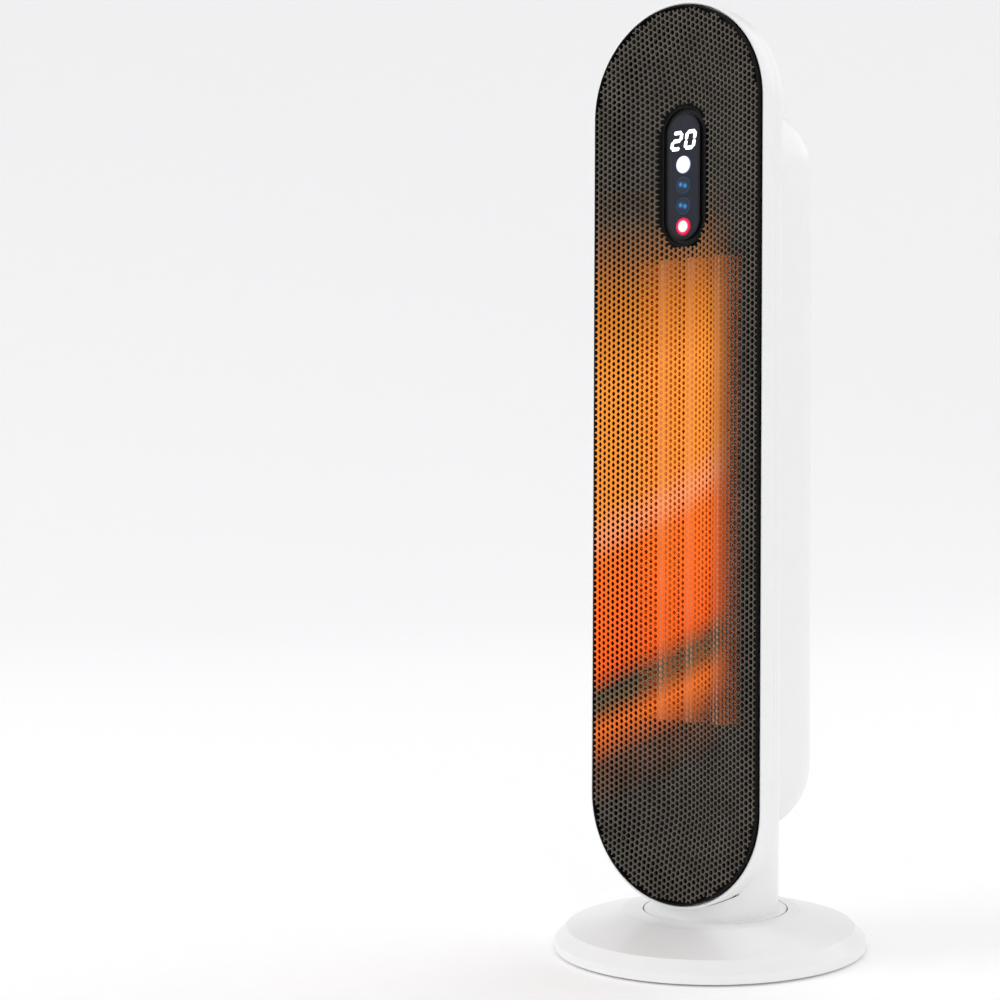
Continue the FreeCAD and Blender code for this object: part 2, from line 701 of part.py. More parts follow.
def spur_gear(label, teeth, bore, z, y, first_tooth):
    """A spur gear with straight-flanked teeth; first_tooth is the angle of one tooth."""
    pitch_radius = S.gear_module * teeth / 2
    root = pitch_radius - S.gear_module * 1.2
    tip = pitch_radius + S.gear_module * 0.85
    root_half = S.gear_module * 1.0
    tip_half = S.gear_module * 0.32
    body = new("PartDesign::Body", f"{label}_teeth")
    disc_sketch = sketch_on(body, f"{label}_disc", "XY_Plane", z[0])
    disc_sketch.addGeometry(Part.Circle(Vector(0, 0, 0), Vector(0, 0, 1), float(root)), False)
    disc_sketch.addConstraint(Sketcher.Constraint("Coincident", 0, 3, -1, 1))
    fix(disc_sketch, "Radius", root, 0)
    pad(body, disc_sketch, z[1] - z[0])
    tooth_sketch = sketch_on(body, f"{label}_tooth", "XY_Plane", z[0])
    inside = root - S.gear_module
    draw_outline(
        tooth_sketch,
        [
            (inside, -root_half),
            (root, -root_half),
            (tip, -tip_half),
            (tip, tip_half),
            (root, root_half),
            (inside, root_half),
        ],
    )
    tooth = pad(body, tooth_sketch, z[1] - z[0])
    document.recompute()
    pattern = body.newObject("PartDesign::PolarPattern", f"{label}_round")
    pattern.Originals = [tooth]
    pattern.Axis = (disc_sketch, ["N_Axis"])
    pattern.Angle = 360
    bind(pattern, "Occurrences", teeth)
    body.Tip = pattern
    place(body, y=y, turn=FreeCAD.Rotation(Vector(0, 0, 1), first_tooth))
    return cut(label, body, rod(f"{label}_bore", bore, (z[0] - S.overrun, z[1] + S.overrun), (0, y)))


def fixed_gear():
    """The gear on the bearing post that the pinion walks round."""
    return spur_gear(
        "fixed_gear", S.gear_teeth, S.post_neck + S.thread_gap, (S.gear_seat, GEAR_TOP), S.swivel_y, 90.0
    )


def swivel_washer():
    """The thrust washer between the post and the neck's deck."""
    ends = (S.deck_base - S.washer_height, S.deck_base - S.running_gap)
    return tube("swivel_washer", S.post_neck, S.spigot_radius + S.gap, ends, (0, S.swivel_y))


# ---------------------------------------------------------------- neck and swivel drive

NECK_BORE = S.neck_radius - S.shell_wall
MOTOR_BASE = S.deck_base + S.deck_wall
DECK_REACH = (S.deck_base - S.overrun, MOTOR_BASE + S.overrun)
COLUMN_SCREW_X = NECK_BORE - S.boss_radius
SWIVEL_SCREW_X = S.swivel_motor_radius - S.head_radius
PLATE_ENDS = (S.neck_top, S.neck_top + S.shell_wall)
RETAINER_SCREW_CIRCLE = (S.spigot_radius + S.spigot_bore) / 2


def sides(x, y):
    """The two points at plus and minus x."""
    return [(x, y), (-x, y)]


def neck_column():
    """The neck with its turntable flange, inner deck and spigot, nested behind the front frame."""
    column = turned(
        "neck_turning",
        [
            (S.spigot_bore, S.spigot_base),
            (S.spigot_radius, S.spigot_base),
            (S.spigot_radius, S.deck_base),
            (NECK_BORE, S.deck_base),
            (NECK_BORE, S.flange_base),
            (S.flange_radius, S.flange_base),
            (S.flange_radius, S.plateau_top),
            (S.neck_radius, S.plateau_top),
            (S.neck_radius, S.neck_top),
            (NECK_BORE, S.neck_top),
            (NECK_BORE, MOTOR_BASE),
            (S.spigot_bore, MOTOR_BASE),
        ],
        S.swivel_y,
    )
    bosses = [
        rod(f"neck_boss_{number}", S.boss_radius + S.gap, (S.neck_top - 15.0, S.neck_top), spot)
        for number, spot in enumerate(sides(COLUMN_SCREW_X, S.swivel_y))
    ]
    tower_recess = stadium(
        "neck_recess",
        S.frame_half_width + S.gap,
        S.frame_half_height + S.gap,
        S.tower_mid,
        (S.frame_front - S.neck_radius, S.flange_back + S.gap),
    )
    tools = [tower_recess]
    tools.append(
        rod("pinion_way", S.motor_shaft_radius + S.gap, DECK_REACH, (0, PINION_Y))
    )
    for number, spot in enumerate(sides(SWIVEL_SCREW_X, PINION_Y)):
        tools.append(rod(f"deck_hole_{number}", SCREW_HOLE, DECK_REACH, spot))
    for number, spot in enumerate(sides(COLUMN_SCREW_X, S.swivel_y)):
        pilot = (S.neck_top - S.neck_pilot, S.neck_top + S.overrun)
        tools.append(rod(f"neck_pilot_{number}", SCREW_HOLE, pilot, spot))
    for number, spot in enumerate(ring_points(RETAINER_SCREW_CIRCLE, 3, 90.0, S.swivel_y)):
        pilot = (S.spigot_base - S.overrun, S.spigot_base + S.spigot_pilot)
        tools.append(rod(f"spigot_pilot_{number}", SCREW_HOLE, pilot, spot))
    return cut("neck_column", fuse("neck_body", column, *bosses), *tools)


def retaining_plate():
    """The plate that keeps the spigot in the post."""
    disc = tube(
        "retaining_disc",
        S.retainer_radius,
        S.spigot_bore,
        (S.spigot_base - S.retainer_height, S.spigot_base),
        (0, S.swivel_y),
    )
    holes = [
        rod(f"retainer_hole_{number}", SCREW_HOLE, (S.foot_height, S.spigot_base + S.overrun), spot)
        for number, spot in enumerate(ring_points(RETAINER_SCREW_CIRCLE, 3, 90.0, S.swivel_y))
    ]
    return cut("retaining_plate", disc, *holes)


def retainer_screws():
    """The screws of the retaining plate."""
    head_end = S.spigot_base - S.retainer_height - S.head_height
    screws = [
        screw(f"retainer_screw_{number}", spot, head_end, S.spigot_base + S.spigot_pilot - S.overrun)
        for number, spot in enumerate(ring_points(RETAINER_SCREW_CIRCLE, 3, 90.0, S.swivel_y))
    ]
    return fuse("retainer_screws", *screws)


def swivel_pinion():
    """The pinion with its shaft, which drives the tower round the fixed gear."""
    half_tooth = 180.0 / int(S.pinion_teeth)
    z = (S.gear_seat + S.gap, GEAR_TOP - S.gap)
    wheel = spur_gear("pinion_wheel", S.pinion_teeth, S.motor_shaft_radius, z, PINION_Y, -90.0 + half_tooth)
    shaft_ends = (z[0], MOTOR_BASE + S.swivel_motor_height / 2)
    shaft = rod("pinion_shaft", S.motor_shaft_radius, shaft_ends, (0, PINION_Y))
    return fuse("swivel_pinion", wheel, shaft)


def swivel_motor():
    """The geared motor that turns the pinion."""
    ends = (MOTOR_BASE, MOTOR_BASE + S.swivel_motor_height)
    body = rod("swivel_motor_can", S.swivel_motor_radius, ends, (0, PINION_Y))
    bore_ends = (MOTOR_BASE - S.overrun, MOTOR_BASE + S.swivel_motor_height / 2 + S.gap)
    bore = rod("swivel_motor_bore", S.motor_shaft_radius + S.running_gap, bore_ends, (0, PINION_Y))
    holes = [
        rod(
            f"swivel_motor_hole_{number}",
            SCREW_HOLE,
            (MOTOR_BASE - S.overrun, MOTOR_BASE + S.motor_screw_depth + S.overrun),
            spot,
        )
        for number, spot in enumerate(sides(SWIVEL_SCREW_X, PINION_Y))
    ]
    return cut("swivel_motor", body, bore, *holes)


def swivel_motor_screws():
    """The screws that hold the swivel motor to the deck."""
    screws = [
        screw(
            f"swivel_motor_screw_{number}",
            spot,
            S.deck_base - S.head_height,
            MOTOR_BASE + S.motor_screw_depth,
        )
        for number, spot in enumerate(sides(SWIVEL_SCREW_X, PINION_Y))
    ]
    return fuse("swivel_motor_screws", *screws)


def column_plate():
    """The steel plate that joins the neck to the rear cover."""
    blank = box(
        "column_plate_blank",
        (-S.plate_half_width, S.plate_half_width),
        (S.plate_front, S.plate_rear),
        PLATE_ENDS,
    )
    plate = common("column_plate_sheet", blank, rear_room("column_plate"))
    way = rod(
        "column_plate_way",
        S.wire_way,
        (S.neck_top - S.overrun, PLATE_ENDS[1] + S.overrun),
        (0, S.swivel_y),
    )
    holes = [
        rod(
            f"column_plate_hole_{number}",
            SCREW_HOLE,
            (S.neck_top - S.overrun, PLATE_ENDS[1] + S.overrun),
            spot,
        )
        for number, spot in enumerate(column_screw_spots())
    ]
    return cut("column_plate", plate, way, *holes)


def column_screw_spots():
    """Where the screws go through the column plate: two into the neck, two into the rear cover."""
    return sides(COLUMN_SCREW_X, S.swivel_y) + sides(S.plate_boss_x, S.plate_boss_y)


def column_screws():
    """The screws of the column plate."""
    screws = [
        screw(
            f"column_screw_{number}",
            spot,
            PLATE_ENDS[1] + S.head_height,
            S.neck_top - S.plate_pilot + S.overrun,
        )
        for number, spot in enumerate(column_screw_spots())
    ]
    return fuse("column_screws", *screws)


# ---------------------------------------------------------------- housing

LEDGE_FRONT = S.grille_front + S.grille_skirt
LEDGE_BACK = LEDGE_FRONT + S.shell_wall
FRAME_TOP_CENTRE = S.tower_mid + S.frame_half_height - S.frame_half_width
FRAME_BOTTOM_CENTRE = S.tower_mid - S.frame_half_height + S.frame_half_width
DISH_BACK = S.grille_front + S.floor_depth + S.grille_wall


def arc_spots(radius, high_angles, low_angles):
    """Points on the two end arcs of the tower, as pairs of X and Z."""
    spots = []
    for centre, angles in ((FRAME_TOP_CENTRE, high_angles), (FRAME_BOTTOM_CENTRE, low_angles)):
        for angle in angles:
            turn = math.radians(angle)
            spots.append((radius * math.cos(turn), centre + radius * math.sin(turn)))
    return spots


def body_screw_spots():
    """Where the screws join the rear cover to the front frame."""
    return arc_spots(S.frame_half_width - S.body_screw_inset, (90.0, 45.0, 135.0), (-30.0, -150.0))


def grille_screw_spots():
    """Where the screws hold the grille to the front frame."""
    inset = S.grille_half_width - S.grille_screw_inset
    spots = arc_spots(inset, (12.0, 168.0), (-68.0, -112.0))
    for height in (S.tower_mid - S.frame_half_height / 3, S.tower_mid + S.frame_half_height / 3):
        spots.extend(sides(inset, height))
    return spots


def front_frame():
    """The moulded front frame: side wall, ledge for the grille and screw bosses."""
    slab = stadium(
        "front_frame_slab",
        S.frame_half_width,
        S.frame_half_height,
        S.tower_mid,
        (S.frame_front, S.seam),
    )
    rounded(slab, "front_frame_lip", S.lip_round, lies_at_y(S.frame_front))
    rounded(slab, "front_frame_seam", S.seam_round, lies_at_y(S.seam))
    opening = stadium(
        "front_frame_opening",
        S.grille_half_width + S.frame_gap,
        S.grille_half_height + S.frame_gap,
        S.tower_mid,
        (S.frame_front - S.overrun, LEDGE_FRONT),
    )
    window = stadium(
        "front_frame_window",
        S.grille_half_width - S.ledge_width,
        S.grille_half_height - S.ledge_width,
        S.tower_mid,
        (LEDGE_FRONT - S.overrun, LEDGE_BACK + S.overrun),
    )
    back_recess = stadium(
        "front_frame_recess",
        S.frame_half_width - S.shell_wall,
        S.frame_half_height - S.shell_wall,
        S.tower_mid,
        (LEDGE_BACK, S.seam + S.overrun),
    )
    shell = cut("front_frame_shell", slab, opening, window, back_recess)
    boss_ends = (LEDGE_FRONT, S.flange_back - S.shell_wall)
    bosses = [
        rod(f"frame_boss_{number}", S.boss_radius, boss_ends, spot, "y")
        for number, spot in enumerate(body_screw_spots())
    ]
    pilots = [
        rod(f"frame_pilot_{number}", SCREW_HOLE, (LEDGE_BACK, boss_ends[1] + S.overrun), spot, "y")
        for number, spot in enumerate(body_screw_spots())
    ]
    holes = [
        rod(f"ledge_hole_{number}", SCREW_HOLE, (LEDGE_FRONT - S.overrun, LEDGE_BACK + S.overrun), spot, "y")
        for number, spot in enumerate(grille_screw_spots())
    ]
    return cut("front_frame", fuse("front_frame_body", shell, *bosses), *pilots, *holes)


def lies_at_y(size):
    """A test for edges that lie wholly at one value of Y."""
    return lambda edge: edge.BoundBox.YLength < 1e-6 and abs(edge.BoundBox.YMin - float(size)) < 1e-6


def runs_along_y(edge):
    """A test for straight edges parallel to Y."""
    return edge.BoundBox.XLength < 1e-6 and edge.BoundBox.ZLength < 1e-6


def dish_section():
    """Half the grille's section, as X and Y from the middle of the floor to the skirt and back."""
    floor_x = S.grille_half_width - S.grille_floor
    shoulder_x = S.grille_half_width - S.grille_shoulder
    border_x = S.grille_half_width - S.grille_border
    inside_x = S.grille_half_width - S.grille_wall
    floor_y = S.grille_front + S.floor_depth
    shoulder_y = S.grille_front + S.shoulder_depth
    front = [
        (floor_x, floor_y),
        (shoulder_x, shoulder_y),
        (border_x, S.grille_front),
        (S.grille_half_width, S.grille_front),
        (S.grille_half_width, LEDGE_FRONT),
        (inside_x, LEDGE_FRONT),
        (inside_x, S.grille_front + S.grille_wall),
        (shoulder_x, shoulder_y + S.grille_wall),
        (floor_x, DISH_BACK),
    ]
    return front


def front_grille():
    """The dished front grille: a slot-shaped dish with a skirt, open behind the control panel."""
    section = dish_section()
    high = S.tower_mid + S.grille_half_height - S.grille_half_width
    low = S.tower_mid - S.grille_half_height + S.grille_half_width
    body = new("PartDesign::Body", "grille_dish")
    straight = sketch_on(body, "grille_straight", "XY_Plane", low)
    mirrored = [(-x, y) for x, y in reversed(section)]
    draw_outline(straight, section + mirrored)
    pad(body, straight, high - low)
    half = [(0, S.grille_front + S.floor_depth)] + section + [(0, DISH_BACK)]
    for name, height, backwards in (("top", high, True), ("bottom", low, False)):
        end = sketch_on(body, f"grille_{name}", "XY_Plane", height)
        draw_outline(end, half)
        turn = body.newObject("PartDesign::Revolution", f"grille_{name}_turn")
        turn.Profile = end
        turn.ReferenceAxis = (end, ["V_Axis"])
        turn.Angle = 180
        turn.Reversed = backwards
        end.Visibility = False
    bosses = [
        rod(f"grille_boss_{number}", S.boss_radius, (S.grille_front + S.grille_wall, LEDGE_FRONT), spot, "y")
        for number, spot in enumerate(grille_screw_spots())
    ]
    pilots = [
        rod(
            f"grille_pilot_{number}",
            SCREW_HOLE,
            (S.grille_front + 2 * S.grille_wall, LEDGE_FRONT + S.overrun),
            spot,
            "y",
        )
        for number, spot in enumerate(grille_screw_spots())
    ]
    panel_way = stadium(
        "grille_panel_way",
        S.pill_half_width + S.pill_gap,
        S.pill_half_height + S.pill_gap,
        S.pill_mid,
        (S.grille_front - S.overrun, DISH_BACK + S.overrun),
    )
    return cut("front_grille", fuse("grille_body", body, *bosses), panel_way, *pilots)


def grille_screws():
    """The screws that hold the grille, driven from behind the ledge."""
    screws = [
        screw(
            f"grille_screw_{number}",
            spot,
            LEDGE_BACK + S.head_height,
            S.grille_front + 2 * S.grille_wall + S.gap,
            "y",
        )
        for number, spot in enumerate(grille_screw_spots())
    ]
    return fuse("grille_screws", *screws)


def rear_body(label, inset, front):
    """The rear cover's rounded body as a solid, drawn in by an inset."""
    body = new("PartDesign::Body", label)
    back = S.bump_back - inset
    sketch = sketch_on(body, f"{label}_outline", "XZ_Plane", -back)
    half = S.bump_half_width - inset
    draw_outline(
        sketch,
        [
            (-half, S.bump_base + inset),
            (half, S.bump_base + inset),
            (half, S.bump_top - inset),
            (-half, S.bump_top - inset),
        ],
    )
    pad(body, sketch, back - front)
    rounded(body, f"{label}_corners", S.bump_corner - inset, runs_along_y)
    rounded(body, f"{label}_back", S.bump_round - inset, lies_at_y(back))
    return body


def rear_solid(label, inset):
    """The rear cover without its hollow: flange and body, drawn in by an inset."""
    flange = stadium(
        f"{label}_flange",
        S.frame_half_width - inset,
        S.frame_half_height - inset,
        S.tower_mid,
        (S.seam - (ZERO if inset is ZERO else S.overrun), S.flange_back - inset),
    )
    rounded(flange, f"{label}_edge", S.flange_round - inset, lies_at_y(S.flange_back - inset))
    if inset is ZERO:
        rounded(flange, f"{label}_seam", S.seam_round, lies_at_y(S.seam))
    return fuse(label, flange, rear_body(f"{label}_body", inset, S.seam))


ZERO = 0.0 * S.shell_wall


def rear_room(label):
    """The space inside the rear cover that a piece called label may fill."""
    return rear_solid(f"{label}_room", S.shell_wall + S.gap)


def board_spots():
    """Where the screws hold the power board, as pairs of X and Z."""
    margin = S.boss_radius + S.gap
    spots = []
    for height in (S.power_board_base + margin, S.power_board_top - margin):
        spots.extend(sides(S.power_board_half_width - margin, height))
    return spots


def intake_window(label, clearance, front):
    """The block that the intake opening takes out of the rear cover."""
    half = S.intake_half_width - clearance
    z = (S.intake_base + clearance, S.intake_top - clearance)
    return box(label, (-half, half), (front, S.bump_back + S.overrun), z)


def rear_cover():
    """The moulded rear cover: flange, rounded body, neck opening, intake opening and bosses."""
    outside = rear_solid("rear_outside", ZERO)
    hollow = rear_solid("rear_hollow", S.shell_wall)
    shell = cut("rear_shell", outside, hollow)
    posts = []
    tools = []
    for number, spot in enumerate(sides(S.plate_boss_x, S.plate_boss_y)):
        posts.append(rod(f"plate_post_{number}", S.boss_radius, (S.bump_base, S.neck_top), spot))
        pilot = (S.neck_top - S.plate_pilot, S.neck_top + S.overrun)
        tools.append(rod(f"plate_pilot_{number}", SCREW_HOLE, pilot, spot))
    board_back = S.power_board_front + S.board_wall
    for number, spot in enumerate(board_spots()):
        posts.append(rod(f"board_post_{number}", S.boss_radius, (board_back, S.bump_back), spot, "y"))
        pilot = (board_back - S.overrun, board_back + S.board_pilot)
        tools.append(rod(f"board_pilot_{number}", SCREW_HOLE, pilot, spot, "y"))
    held_posts = common("rear_posts", fuse("rear_post_rods", *posts), outside)
    way_base = S.bump_base - S.neck_way_drop
    neck_rod = rod("neck_way_rod", S.neck_radius + S.gap, (way_base, S.neck_top + S.gap), (0, S.swivel_y))
    neck_block = box(
        "neck_way_block",
        (-S.frame_half_width, S.frame_half_width),
        (S.flange_back + S.gap, S.bump_back),
        (way_base, S.neck_top + S.overrun),
    )
    tools.append(common("neck_way", neck_rod, neck_block))
    tools.append(intake_window("intake_way", ZERO, S.fan_y))
    for number, spot in enumerate(body_screw_spots()):
        hole = (S.flange_back - S.flange_hole, S.flange_back + S.overrun)
        tools.append(rod(f"flange_hole_{number}", SCREW_HOLE, hole, spot, "y"))
        seat = (S.flange_back - S.head_height, S.flange_back + S.flange_round)
        tools.append(rod(f"flange_seat_{number}", HEAD_HOLE, seat, spot, "y"))
    return cut("rear_cover", fuse("rear_cover_body", shell, held_posts), *tools)


def body_screws():
    """The screws that join the rear cover to the front frame."""
    screws = [
        screw(f"body_screw_{number}", spot, S.flange_back, LEDGE_BACK + S.body_screw_gap, "y")
        for number, spot in enumerate(body_screw_spots())
    ]
    return fuse("body_screws", *screws)


def intake_grille():
    """The slatted panel in the rear cover's intake opening."""
    outside = rear_body("intake_outside", ZERO, S.seam)
    inside = rear_body("intake_inside", S.shell_wall, S.seam)
    shell = cut("intake_shell", outside, inside)
    panel = common("intake_panel", shell, intake_window("intake_block", S.gap, S.fan_y + S.gap))
    clear_height = S.intake_top - S.intake_base - 2 * S.slat_border
    half = S.intake_half_width - S.slat_border
    slots = []
    for number in range(int(float(clear_height) // float(S.slat_pitch))):
        low = S.intake_base + S.slat_border + number * S.slat_pitch
        slots.append(
            box(
                f"intake_slot_{number}",
                (-half, half),
                (S.fan_y, S.bump_back + S.overrun),
                (low, low + S.slat_pitch - S.slat_height),
            )
        )
    return cut("intake_grille", panel, *slots)


# ---------------------------------------------------------------- control panel

LENS_BACK = S.pill_front + S.lens_wall
BOARD_FRONT = LENS_BACK + S.module_depth
COLLAR_FRONT = LENS_BACK + S.running_gap * 2
KEYS = {"power_key": 0, "swing_key": 1, "timer_key": 2, "mode_key": 3}


def key_height(number):
    """The height of a key's axis."""
    return S.power_key_height + number * S.key_pitch


def display_housing():
    """The control panel's tray with the flange that holds it behind the grille."""
    tray = stadium(
        "display_tray", S.pill_half_width, S.pill_half_height, S.pill_mid, (S.pill_front, S.pill_back)
    )
    rim = stadium(
        "display_rim",
        S.pill_half_width + 2 * S.pill_wall,
        S.pill_half_height + 2 * S.pill_wall,
        S.pill_mid,
        (DISH_BACK + S.gap, DISH_BACK + S.gap + S.pill_wall),
    )
    hollow = stadium(
        "display_hollow",
        S.pill_half_width - S.pill_wall,
        S.pill_half_height - S.pill_wall,
        S.pill_mid,
        (S.pill_front - S.overrun, S.pill_back - S.pill_wall),
    )
    return cut("display_housing", fuse("display_tray_rim", tray, rim), hollow)


def display_lens():
    """The smoked front panel with openings for the keys."""
    inset = S.pill_wall + S.thread_gap
    slab = stadium(
        "display_lens_slab",
        S.pill_half_width - inset,
        S.pill_half_height - inset,
        S.pill_mid,
        (S.pill_front, LENS_BACK),
    )
    ways = [
        rod(
            f"key_way_{number}",
            S.key_radius + S.key_gap,
            (S.pill_front - S.overrun, LENS_BACK + S.overrun),
            (0, key_height(number)),
            "y",
        )
        for number in KEYS.values()
    ]
    return cut("display_lens", slab, *ways)


def display_module():
    """The two-digit display."""
    half = S.module_half_width
    z = (S.digits_height - S.module_half_height, S.digits_height + S.module_half_height)
    return box("display_module", (-half, half), (LENS_BACK, BOARD_FRONT), z)


def display_board():
    """The circuit board behind the display and the keys."""
    inset = S.pill_wall + S.gap
    return stadium(
        "display_board",
        S.pill_half_width - inset,
        S.pill_half_height - inset,
        S.pill_mid,
        (BOARD_FRONT, BOARD_FRONT + S.board_wall),
    )


def key_switches():
    """The small switches that the keys press."""
    half = S.switch_half_width
    switches = [
        box(
            f"key_switch_{number}",
            (-half, half),
            (BOARD_FRONT - S.switch_height, BOARD_FRONT),
            (key_height(number) - half, key_height(number) + half),
        )
        for number in KEYS.values()
    ]
    return fuse("key_switches", *switches)


def push_key(label, number):
    """A key: face, collar that keeps it behind the lens, and stem down to its switch."""
    at = (0, key_height(number))
    stem_end = BOARD_FRONT - S.switch_height - S.key_travel - 2 * S.running_gap
    collar_back = COLLAR_FRONT + S.key_collar_height
    face = rod(f"{label}_face", S.key_radius, (S.pill_front - S.key_proud, COLLAR_FRONT), at, "y")
    rounded_face = new("Part::Chamfer", f"{label}_bevel")
    rounded_face.Base = face
    document.recompute()
    front = edges_where(face.Shape, lies_at_y(S.pill_front - S.key_proud))
    rounded_face.Edges = [(int(name[4:]), S.key_proud.value / 2, S.key_proud.value / 2) for name in front]
    collar = rod(f"{label}_collar", S.key_collar, (COLLAR_FRONT, collar_back), at, "y")
    stem = rod(f"{label}_stem", S.key_stem, (collar_back, stem_end), at, "y")
    return fuse(label, rounded_face, collar, stem)


# ---------------------------------------------------------------- heater

OPENING_HALF = S.heater_half_width - S.heater_wall
OPENING_BASE = S.heater_base + S.heater_wall
OPENING_TOP = S.heater_top - S.heater_wall
CORE_FRONT = S.heater_front + S.overrun
CORE_BACK = S.heater_back - S.overrun
FIN_WIDTH = (2 * OPENING_HALF - S.bar_count * S.bar_width) / (S.bar_count + 1)
CORE_MIDDLE = (S.heater_front + S.heater_back) / 2


def bar_middles():
    """Where the heating bars stand, as values of X."""
    step = FIN_WIDTH + S.bar_width
    return [-OPENING_HALF + FIN_WIDTH + S.bar_width / 2 + number * step for number in range(int(S.bar_count))]


def heater_frame():
    """The heat-proof frame round the heating element."""
    block = box(
        "heater_block",
        (-S.heater_half_width, S.heater_half_width),
        (S.heater_front, S.heater_back),
        (S.heater_base, S.heater_top),
    )
    opening = box(
        "heater_opening",
        (-OPENING_HALF, OPENING_HALF),
        (S.heater_front - S.overrun, S.heater_back + S.overrun),
        (OPENING_BASE, OPENING_TOP),
    )
    slots = [
        box(
            f"terminal_slot_{number}",
            (middle - S.terminal_half_width - S.thread_gap, middle + S.terminal_half_width + S.thread_gap),
            (CORE_MIDDLE - S.terminal_wall, CORE_MIDDLE + S.terminal_wall),
            (S.heater_base - S.overrun, OPENING_BASE + S.overrun),
        )
        for number, middle in enumerate(bar_middles())
    ]
    return cut("heater_frame", block, opening, *slots)


def air_baffle():
    """The plate seated on the heater frame, so that warm air leaves only through the heater."""
    y = (S.heater_front - S.baffle_wall, S.heater_front)
    inset = S.shell_wall + S.gap
    plate = stadium(
        "air_baffle_plate", S.frame_half_width - inset, S.frame_half_height - inset, S.tower_mid, y
    )
    reach = (y[0] - S.gap, y[1] + S.gap)
    outlet = box(
        "air_baffle_outlet",
        (-OPENING_HALF, OPENING_HALF),
        reach,
        (OPENING_BASE, OPENING_TOP),
    )
    panel_way = stadium(
        "air_baffle_panel_way",
        S.pill_half_width + S.gap,
        S.pill_half_height + S.gap,
        S.pill_mid,
        reach,
    )
    ways = [
        rod(f"baffle_way_{number}", S.boss_radius + S.gap, reach, spot, "y")
        for number, spot in enumerate(body_screw_spots())
    ]
    return cut("air_baffle", plate, outlet, panel_way, *ways)


def ceramic_bars():
    """The flat bars that hold the ceramic heating stones."""
    bars = [
        box(
            f"ceramic_bar_{number}",
            (middle - S.bar_width / 2, middle + S.bar_width / 2),
            (CORE_FRONT, CORE_BACK),
            (OPENING_BASE, OPENING_TOP),
        )
        for number, middle in enumerate(bar_middles())
    ]
    return fuse("ceramic_bars", *bars)


def fin_strip(left, right):
    """A corrugated strip that runs up the heater between two values of X."""
    rise = S.fin_pitch.value / 2
    low = OPENING_BASE.value
    folds = int((OPENING_TOP.value - low) // rise)
    slope = math.atan2(rise, right - left)
    breadth = S.fin_wall.value / math.sin(slope)
    there = []
    for number in range(folds + 1):
        x = left if number % 2 == 0 else right - breadth
        there.append(Vector(x, 0, low + number * rise))
    back = [point + Vector(breadth, 0, 0) for point in reversed(there)]
    outline = Part.makePolygon(there + back + [there[0]])
    return Part.Face(outline).extrude(Vector(0, CORE_BACK.value - CORE_FRONT.value, 0))


def radiator_fins():
    """The corrugated aluminium fins between the heating bars."""
    strips = []
    step = FIN_WIDTH.value + S.bar_width.value
    for number in range(int(S.bar_count) + 1):
        left = -OPENING_HALF.value + number * step
        strips.append(fin_strip(left, left + FIN_WIDTH.value))
    fins = new("Part::Feature", "radiator_fins")
    fins.Shape = Part.makeCompound(strips)
    return place(fins, y=CORE_FRONT)


def heater_terminals():
    """The blade terminals at the lower ends of the heating bars."""
    half = S.terminal_wall / 2
    blades = [
        box(
            f"terminal_{number}",
            (middle - S.terminal_half_width, middle + S.terminal_half_width),
            (CORE_MIDDLE - half, CORE_MIDDLE + half),
            (S.heater_base - S.terminal_length, OPENING_BASE),
        )
        for number, middle in enumerate(bar_middles())
    ]
    return fuse("heater_terminals", *blades)


def thermal_cutout():
    """The round thermostat that cuts the heater out when it is too hot."""
    ends = (S.heater_top, S.heater_top + S.cutout_height)
    return rod("thermal_cutout", S.cutout_radius, ends, (-S.heater_half_width / 2, CORE_MIDDLE))


def thermal_fuse():
    """The one-shot thermal fuse that lies on the heater frame."""
    ends = (S.heater_half_width / 4, S.heater_half_width / 4 + S.fuse_length)
    return rod("thermal_fuse", S.fuse_radius, ends, (CORE_MIDDLE, S.heater_top + S.fuse_radius), "x")


# ---------------------------------------------------------------- fan

LOWER_PLATE = (S.lower_plate_base, S.lower_plate_base + S.mount_wall)
UPPER_PLATE = (S.fan_top + S.fan_end_gap, S.fan_top + S.fan_end_gap + S.mount_wall)
DUCT_FRONT = S.heater_back + S.running_gap
SCROLL_INSIDE = S.fan_radius + S.duct_gap
MOTOR_TOP = S.fan_motor_base + S.fan_motor_height
FAN_AXIS = (0, S.fan_y)


def scroll_wall():
    """The curved side of the air duct, which gathers the air from the fan."""
    ends = (LOWER_PLATE[1], UPPER_PLATE[0])
    ring = tube("scroll_ring", SCROLL_INSIDE + S.duct_wall, SCROLL_INSIDE, ends, FAN_AXIS)
    quarter = box(
        "scroll_quarter",
        (SCROLL_INSIDE / 2, SCROLL_INSIDE + 2 * S.duct_wall),
        (S.fan_y, S.fan_y + SCROLL_INSIDE),
        (ends[0] - S.overrun, ends[1] + S.overrun),
    )
    ramp = prism(
        "scroll_ramp",
        [
            (SCROLL_INSIDE, S.fan_y + S.gap),
            (OPENING_HALF, DUCT_FRONT),
            (OPENING_HALF + S.duct_wall, DUCT_FRONT),
            (SCROLL_INSIDE + S.duct_wall, S.fan_y + S.gap),
        ],
        ends,
    )
    return fuse("scroll_wall", common("scroll_arc", ring, quarter), ramp)


def fan_tongue():
    """The wall on the other side of the fan, which parts the intake from the outlet."""
    near = S.fan_radius + S.duct_gap / 2
    return prism(
        "fan_tongue",
        [
            (-near, S.fan_y - near / 2),
            (-near - S.duct_wall, S.fan_y - near / 2),
            (-OPENING_HALF - S.duct_wall, DUCT_FRONT),
            (-OPENING_HALF, DUCT_FRONT),
        ],
        (LOWER_PLATE[1], UPPER_PLATE[0]),
    )


